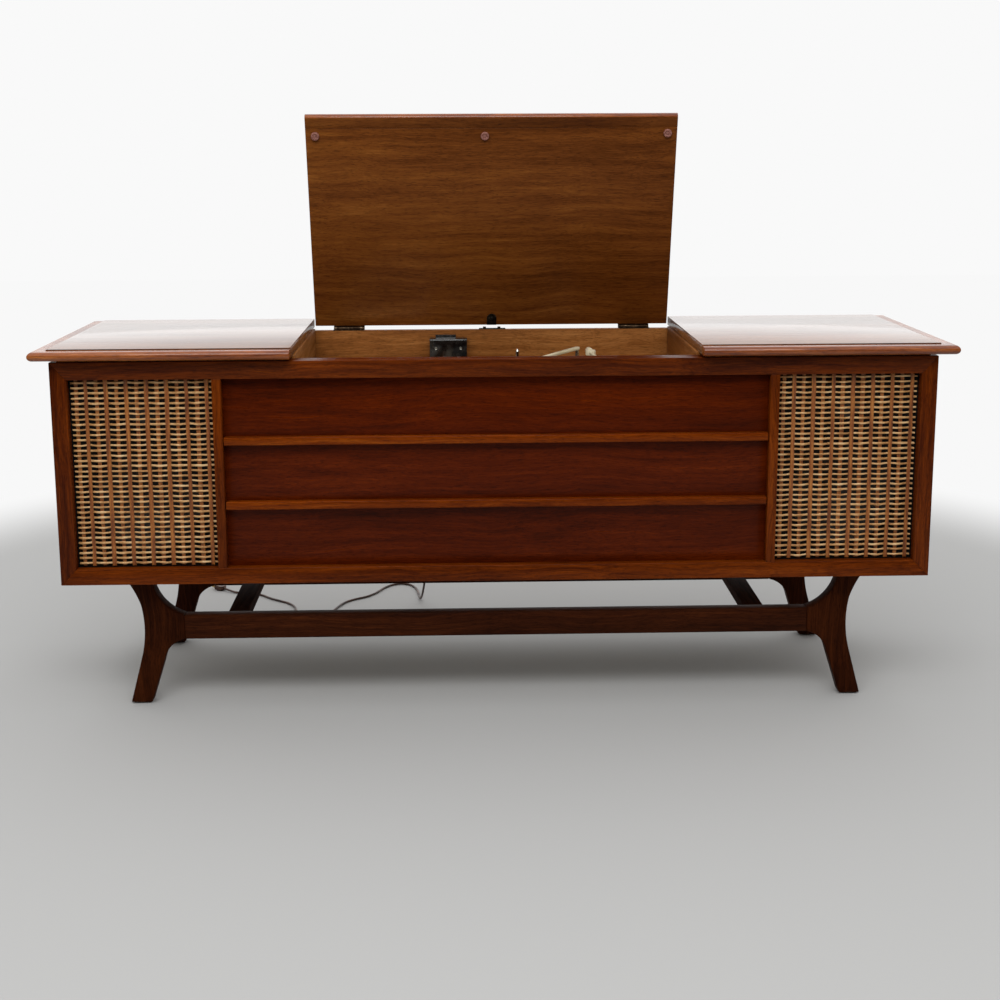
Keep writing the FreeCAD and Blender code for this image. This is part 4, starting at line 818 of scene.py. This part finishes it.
# The dial card: black, with two printed rows of plain numbers and their ticks.
CARD_UNDER, CARD_THICK, PRINT_HIGH = 0.0100, 0.0012, 0.0002
glass_low, glass_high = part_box("dial_glass")
card_top = glass_low.z - CARD_UNDER + CARD_THICK
card_black = mottled("printed_black_card", {"Roughness": 0.5}, 120.0, 4.0,
                     [(0.4, "#0c0b0a"), (0.7, "#1d1a17")])
form = bmesh.new()
middle = (glass_low + glass_high) / 2
bmesh.ops.create_cube(form, size=1, matrix=Matrix.Translation(
    (middle.x, middle.y, card_top - CARD_THICK / 2)) @ Matrix.Diagonal(
    (glass_high.x - glass_low.x - 0.002, glass_high.y - glass_low.y - 0.002, CARD_THICK, 1)))
bmesh.ops.bevel(form, geom=list(form.edges), offset=0.0003, offset_type="OFFSET", segments=2,
                profile=0.5, affect="EDGES", clamp_overlap=True, material=-1)
settle("dial_card", form, card_black, "cabinet", "black_enamel")

cream_print = mottled("cream_screen_print", {"Roughness": 0.6}, 700.0, 2.0,
                      [(0.4, "#cfc39f"), (0.65, "#efe6c8")])
NUMBER_HIGH, TICKS = 0.0085, 27
SCALE_START, SCALE_SPAN, NUMBER_STEP = 0.12, 0.76, 0.19
form = bmesh.new()
for depth, numbers in ((0.70, ("55", "70", "90", "120", "160")), (0.26, ("88", "92", "96", "102", "108"))):
    y = glass_low.y + depth * (glass_high.y - glass_low.y)
    for index, number in enumerate(numbers):
        words = bpy.data.curves.new("dial_number", "FONT")
        words.body = number
        words.size = NUMBER_HIGH
        words.align_x = "CENTER"
        words.extrude = PRINT_HIGH / 2
        holder = bpy.data.objects.new("dial_number", words)
        flat = bpy.data.meshes.new_from_object(holder)
        x = glass_low.x + (SCALE_START + NUMBER_STEP * index) * (glass_high.x - glass_low.x)
        flat.transform(Matrix.Translation((x, y, card_top + PRINT_HIGH / 2)))
        form.from_mesh(flat)
        bpy.data.objects.remove(holder)
        bpy.data.curves.remove(words)
        bpy.data.meshes.remove(flat)
    for tick in range(TICKS):
        x = glass_low.x + (SCALE_START + SCALE_SPAN * tick / (TICKS - 1)) * (glass_high.x - glass_low.x)
        tall = 0.006 if tick % 2 == 0 else 0.0035
        bmesh.ops.create_cube(form, size=1, matrix=Matrix.Translation(
            (x, y - 0.004 - tall / 2, card_top + PRINT_HIGH / 2))
            @ Matrix.Diagonal((0.0006, tall, PRINT_HIGH, 1)))
settle("dial_print", form, cream_print, "cabinet", "cream_enamel")

# Ivory urea knobs, fluted for grip, with a pressed brass disc and a filled mark.
FLUTES, FLUTE_DEEP = 28, 0.0009
# Warm and slightly deep, yellowed unevenly where fingers have been.
ivory = mottled("moulded_ivory_urea", {"Roughness": 0.28, "IOR": 1.5, "Subsurface Weight": 0.08}, 85.0, 4.0,
                [(0.36, "#d3c39f"), (0.68, "#eadfc4")])
for knob in ("tuning_knob", "volume_knob", "selector_knob"):
    low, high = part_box(knob)
    x, y = (low.x + high.x) / 2, (low.y + high.y) / 2
    skirt, top = high.z - 0.017 - low.z, high.z - low.z
    form = bmesh.new()
    ringed(form, [(0, 0), (0.003, 0), (0.003, skirt), (0.0158, skirt), (0.0160, skirt + 0.0015),
                  (0.0158, skirt + 0.003), (0.0148, skirt + 0.004), (0.0142, top - 0.0015),
                  (0.0130, top - 0.0002), (0.0105, top - 0.0002), (0.0102, top - 0.0010),
                  (0, top - 0.0010)], Matrix.Identity(4), steps=FLUTES * 4)
    for v in form.verts:
        if skirt + 0.0035 < v.co.z < top - 0.0010 and v.co.xy.length > 0.0120:
            groove = 0.5 - 0.5 * cos(FLUTES * (v.co.xy.angle_signed(Vector((1, 0)))))
            v.co.xy *= 1 - groove * FLUTE_DEEP / v.co.xy.length
    bmesh.ops.remove_doubles(form, verts=form.verts, dist=1e-6)
    bmesh.ops.recalc_face_normals(form, faces=form.faces)
    bmesh.ops.translate(form, vec=(x, y, low.z), verts=form.verts)
    settle(f"{knob}_ivory", form, ivory, knob, "knob_plastic", knob)
    form = bmesh.new()
    ringed(form, [(0, 0), (0.0100, 0), (0.0100, 0.0005), (0.0094, 0.0008), (0, 0.0008)],
           Matrix.Translation((x, y, high.z - 0.0010)), steps=40)
    bmesh.ops.create_cube(form, size=1, matrix=Matrix.Translation((x, y + 0.0066, high.z - 0.0001))
                          @ Matrix.Diagonal((0.0010, 0.0050, 0.0002, 1)))
    bmesh.ops.remove_doubles(form, verts=form.verts, dist=1e-6)
    bmesh.ops.recalc_face_normals(form, faces=form.faces)
    settle(f"{knob}_inlay", form, blade_brass, knob, "knob_plastic")

# ------------------------------------------------------------ the record changer
# A pressed steel deck in stoved enamel floats over the motor board. The platter
# turns on the spindle, and the arms swing on posts that stand on the deck.
cream, tree, bsdf = material("stoved_cream_enamel", {"Roughness": 0.3, "IOR": 1.5, "Coat Weight": 0.3,
                                                    "Coat Roughness": 0.1})
place = add(tree, "TexCoord")
peel = add(tree, "TexNoise", None, {"Vector": place.outputs["Object"], "Scale": 700.0, "Detail": 1.0})
soil = add(tree, "TexNoise", None, {"Vector": place.outputs["Object"], "Scale": 14.0, "Detail": 4.0})
# Cream, faintly soiled, with the orange peel of sprayed and baked paint.
tone = add(tree, "ValToRGB", None, {"Fac": soil.outputs["Fac"]}, [(0.34, "#c9bb97"), (0.62, "#ded3b5")])
skin = add(tree, "Bump", None, {"Height": peel.outputs["Fac"], "Strength": 0.06, "Distance": 0.0003})
tree.links.new(tone.outputs["Color"], bsdf.inputs["Base Color"])
tree.links.new(skin.outputs["Normal"], bsdf.inputs["Normal"])
dress(cream, "changer_deck")

nickel, tree, bsdf = material("satin_nickel_plate", {"Metallic": 1.0})
place = add(tree, "TexCoord")
rub = add(tree, "TexNoise", None, {"Vector": place.outputs["Object"], "Scale": 240.0, "Detail": 3.0})
tone = add(tree, "ValToRGB", None, {"Fac": rub.outputs["Fac"]}, [(0.38, "#a8a39a"), (0.66, "#d2cec4")])
dull = add(tree, "MapRange", None, {
    "Value": rub.outputs["Fac"], "From Min": 0.35, "From Max": 0.7, "To Min": 0.16, "To Max": 0.3})
tree.links.new(tone.outputs["Color"], bsdf.inputs["Base Color"])
tree.links.new(dull.outputs["Result"], bsdf.inputs["Roughness"])
dress(nickel, "changer_posts")
dress(zinc, "changer_motor", "amplifier_chassis")

hammer, tree, bsdf = material("grey_hammer_enamel", {"Metallic": 0.4, "Roughness": 0.34})
place = add(tree, "TexCoord")
dimple = add(tree, "TexVoronoi", None, {"Vector": place.outputs["Object"], "Scale": 330.0})
tone = add(tree, "ValToRGB", None, {"Fac": dimple.outputs["Distance"]},
           [(0.1, "#2d2c2a"), (0.6, "#55524d")])
tree.links.new(tone.outputs["Color"], bsdf.inputs["Base Color"])
# Dull black, greyed by dust in the grooves.
mat_rubber = mottled("ribbed_black_rubber", {"Roughness": 0.66, "IOR": 1.5}, 60.0, 5.0,
                     [(0.38, "#141312"), (0.7, "#312e2a")])
low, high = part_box("platter")
BORE, RIM, TALL, HOLLOW, HUB, RIBS = 0.00355, 0.133, 0.014, 0.009, 0.0115, 12
profile = [(BORE, 0), (HUB, 0), (HUB, HOLLOW), (RIM - 0.004, HOLLOW), (RIM - 0.004, 0), (RIM, 0),
           (RIM, TALL - 0.0012), (RIM - 0.0006, TALL - 0.0003), (RIM - 0.002, TALL - 0.0001),
           (RIM - 0.004, TALL - 0.0012)]
for rib in range(RIBS):
    outer = RIM - 0.006 - rib * 0.0088
    profile += [(outer, TALL - 0.0010), (outer - 0.0006, TALL - 0.0002),
                (outer - 0.0050, TALL - 0.0002), (outer - 0.0056, TALL - 0.0010)]
profile += [(BORE, TALL - 0.0010), (BORE, 0)]
form = bmesh.new()
ringed(form, profile, Matrix.Translation(((low.x + high.x) / 2, (low.y + high.y) / 2, low.z)), steps=96)
bmesh.ops.remove_doubles(form, verts=form.verts, dist=1e-6)
bmesh.ops.recalc_face_normals(form, faces=form.faces)
axle = Vector(((low.x + high.x) / 2, (low.y + high.y) / 2))
for face in form.faces:
    at = face.calc_center_median()
    face.material_index = int(at.z > low.z + TALL - 0.0015 and (at.xy - axle).length < RIM - 0.0038)
settle("platter_and_mat", form, [hammer, mat_rubber], "platter", "platter_enamel", "platter")

# The tonearm: a die-cast tube on a turned cap, a flared head over the cartridge,
# and a turned weight behind. It is painted to match the deck.
arm_joint = next(j for j in frame["joints"] if j["name"] == "tonearm_swing")
ARM_REST_TURN = radians(3.4)
arm_place = Matrix.Translation(arm_joint["pos_m"]) @ Matrix.Rotation(ARM_REST_TURN, 4, "Z")


def cast(form, low, high, soft, taper=1.0):
    """Adds a block with rounded arrises; taper narrows it towards the front."""
    size = [b - a for a, b in zip(low, high)]
    made = bmesh.ops.create_cube(form, size=1, matrix=Matrix.Translation(
        [(a + b) / 2 for a, b in zip(low, high)]) @ Matrix.Diagonal((*size, 1)))
    for v in made["verts"]:
        if v.co.y < (low[1] + high[1]) / 2:
            v.co.x *= taper
    edges = list({e for v in made["verts"] for e in v.link_edges})
    bmesh.ops.bevel(form, geom=edges, offset=soft, offset_type="OFFSET", segments=3, profile=0.5,
                    affect="EDGES", clamp_overlap=True, material=-1)


form = bmesh.new()
cast(form, (-0.0045, -0.150, -0.004), (0.0045, 0.012, 0.004), 0.0030, taper=0.8)
cast(form, (-0.0090, -0.192, -0.008), (0.0090, -0.148, 0.004), 0.0028, taper=0.85)
ringed(form, [(0, -0.006), (0.0100, -0.006), (0.0110, -0.005), (0.0110, 0.0035),
              (0.0100, 0.0055), (0, 0.006)],
       Matrix.Identity(4), steps=40)
ringed(form, [(0, 0), (0.0068, 0), (0.0080, 0.0014), (0.0080, 0.0206), (0.0068, 0.022), (0, 0.022)],
       Matrix.Translation((0, 0.030, 0)) @ Matrix.Rotation(pi / 2, 4, "X"), steps=32)
bmesh.ops.remove_doubles(form, verts=form.verts, dist=1e-7)
bmesh.ops.recalc_face_normals(form, faces=form.faces)
bmesh.ops.transform(form, matrix=arm_place, verts=form.verts)
settle("tonearm_casting", form, cream, "tonearm", "cream_plastic", "tonearm")
form = bmesh.new()
cast(form, (-0.006, -0.188, -0.0155), (0.006, -0.162, -0.0078), 0.0012)
bmesh.ops.recalc_face_normals(form, faces=form.faces)
bmesh.ops.transform(form, matrix=arm_place, verts=form.verts)
settle("tonearm_cartridge", form, card_black, "tonearm", "cream_plastic")
eased("overarm", "overarm_casting", cream, 0.0012)
eased("control_lever", "control_lever_ivory", ivory, 0.0008)

# ------------------------------------------------- the lamp housing and amplifier
# A folded steel lamp housing in gloss enamel hangs on the well's back wall by two
# screws. The amplifier stands on the bottom board: chassis, valves, transformer.
gloss_black, tree, bsdf = material("gloss_black_enamel", {"IOR": 1.5, "Coat Weight": 0.6,
                                                          "Coat Roughness": 0.05})
place = add(tree, "TexCoord")
fleck = add(tree, "TexNoise", None, {"Vector": place.outputs["Object"], "Scale": 55.0, "Detail": 5.0})
tone = add(tree, "ValToRGB", None, {"Fac": fleck.outputs["Fac"]}, [(0.4, "#0a0908"), (0.74, "#26211c")])
# Deep black, with a dusty bloom that dulls the gloss in patches.
dull = add(tree, "MapRange", None, {
    "Value": fleck.outputs["Fac"], "From Min": 0.4, "From Max": 0.7, "To Min": 0.16, "To Max": 0.4})
tree.links.new(tone.outputs["Color"], bsdf.inputs["Base Color"])
tree.links.new(dull.outputs["Result"], bsdf.inputs["Roughness"])
eased("lamp_box", "lamp_box_enamel", gloss_black, 0.0010)
lamp_low, lamp_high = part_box("lamp_box")
form = bmesh.new()
for x in (lamp_low.x + 0.014, lamp_high.x - 0.014):
    screw(form, (x, lamp_low.y, lamp_low.z + 0.040), 0.0034, 0.0014, (0, -1, 0))
settle("lamp_box_screws", form, zinc, "cabinet", "zinc_steel")
dress(gloss_black, "power_transformer")

valve_glass, tree, bsdf = material("blown_valve_glass", {"IOR": 1.47, "Transmission Weight": 0.85})
place = add(tree, "TexCoord")
getter = add(tree, "TexNoise", None, {"Vector": place.outputs["Object"], "Scale": 45.0, "Detail": 3.0})
# Clear glass with the smoky patches that the getter leaves inside.
tone = add(tree, "ValToRGB", None, {"Fac": getter.outputs["Fac"]}, [(0.42, "#d8dcda"), (0.7, "#7d7f80")])
haze = add(tree, "MapRange", None, {
    "Value": getter.outputs["Fac"], "From Min": 0.4, "From Max": 0.7, "To Min": 0.04, "To Max": 0.25})
tree.links.new(tone.outputs["Color"], bsdf.inputs["Base Color"])
tree.links.new(haze.outputs["Result"], bsdf.inputs["Roughness"])
dress(valve_glass, "amplifier_tubes")
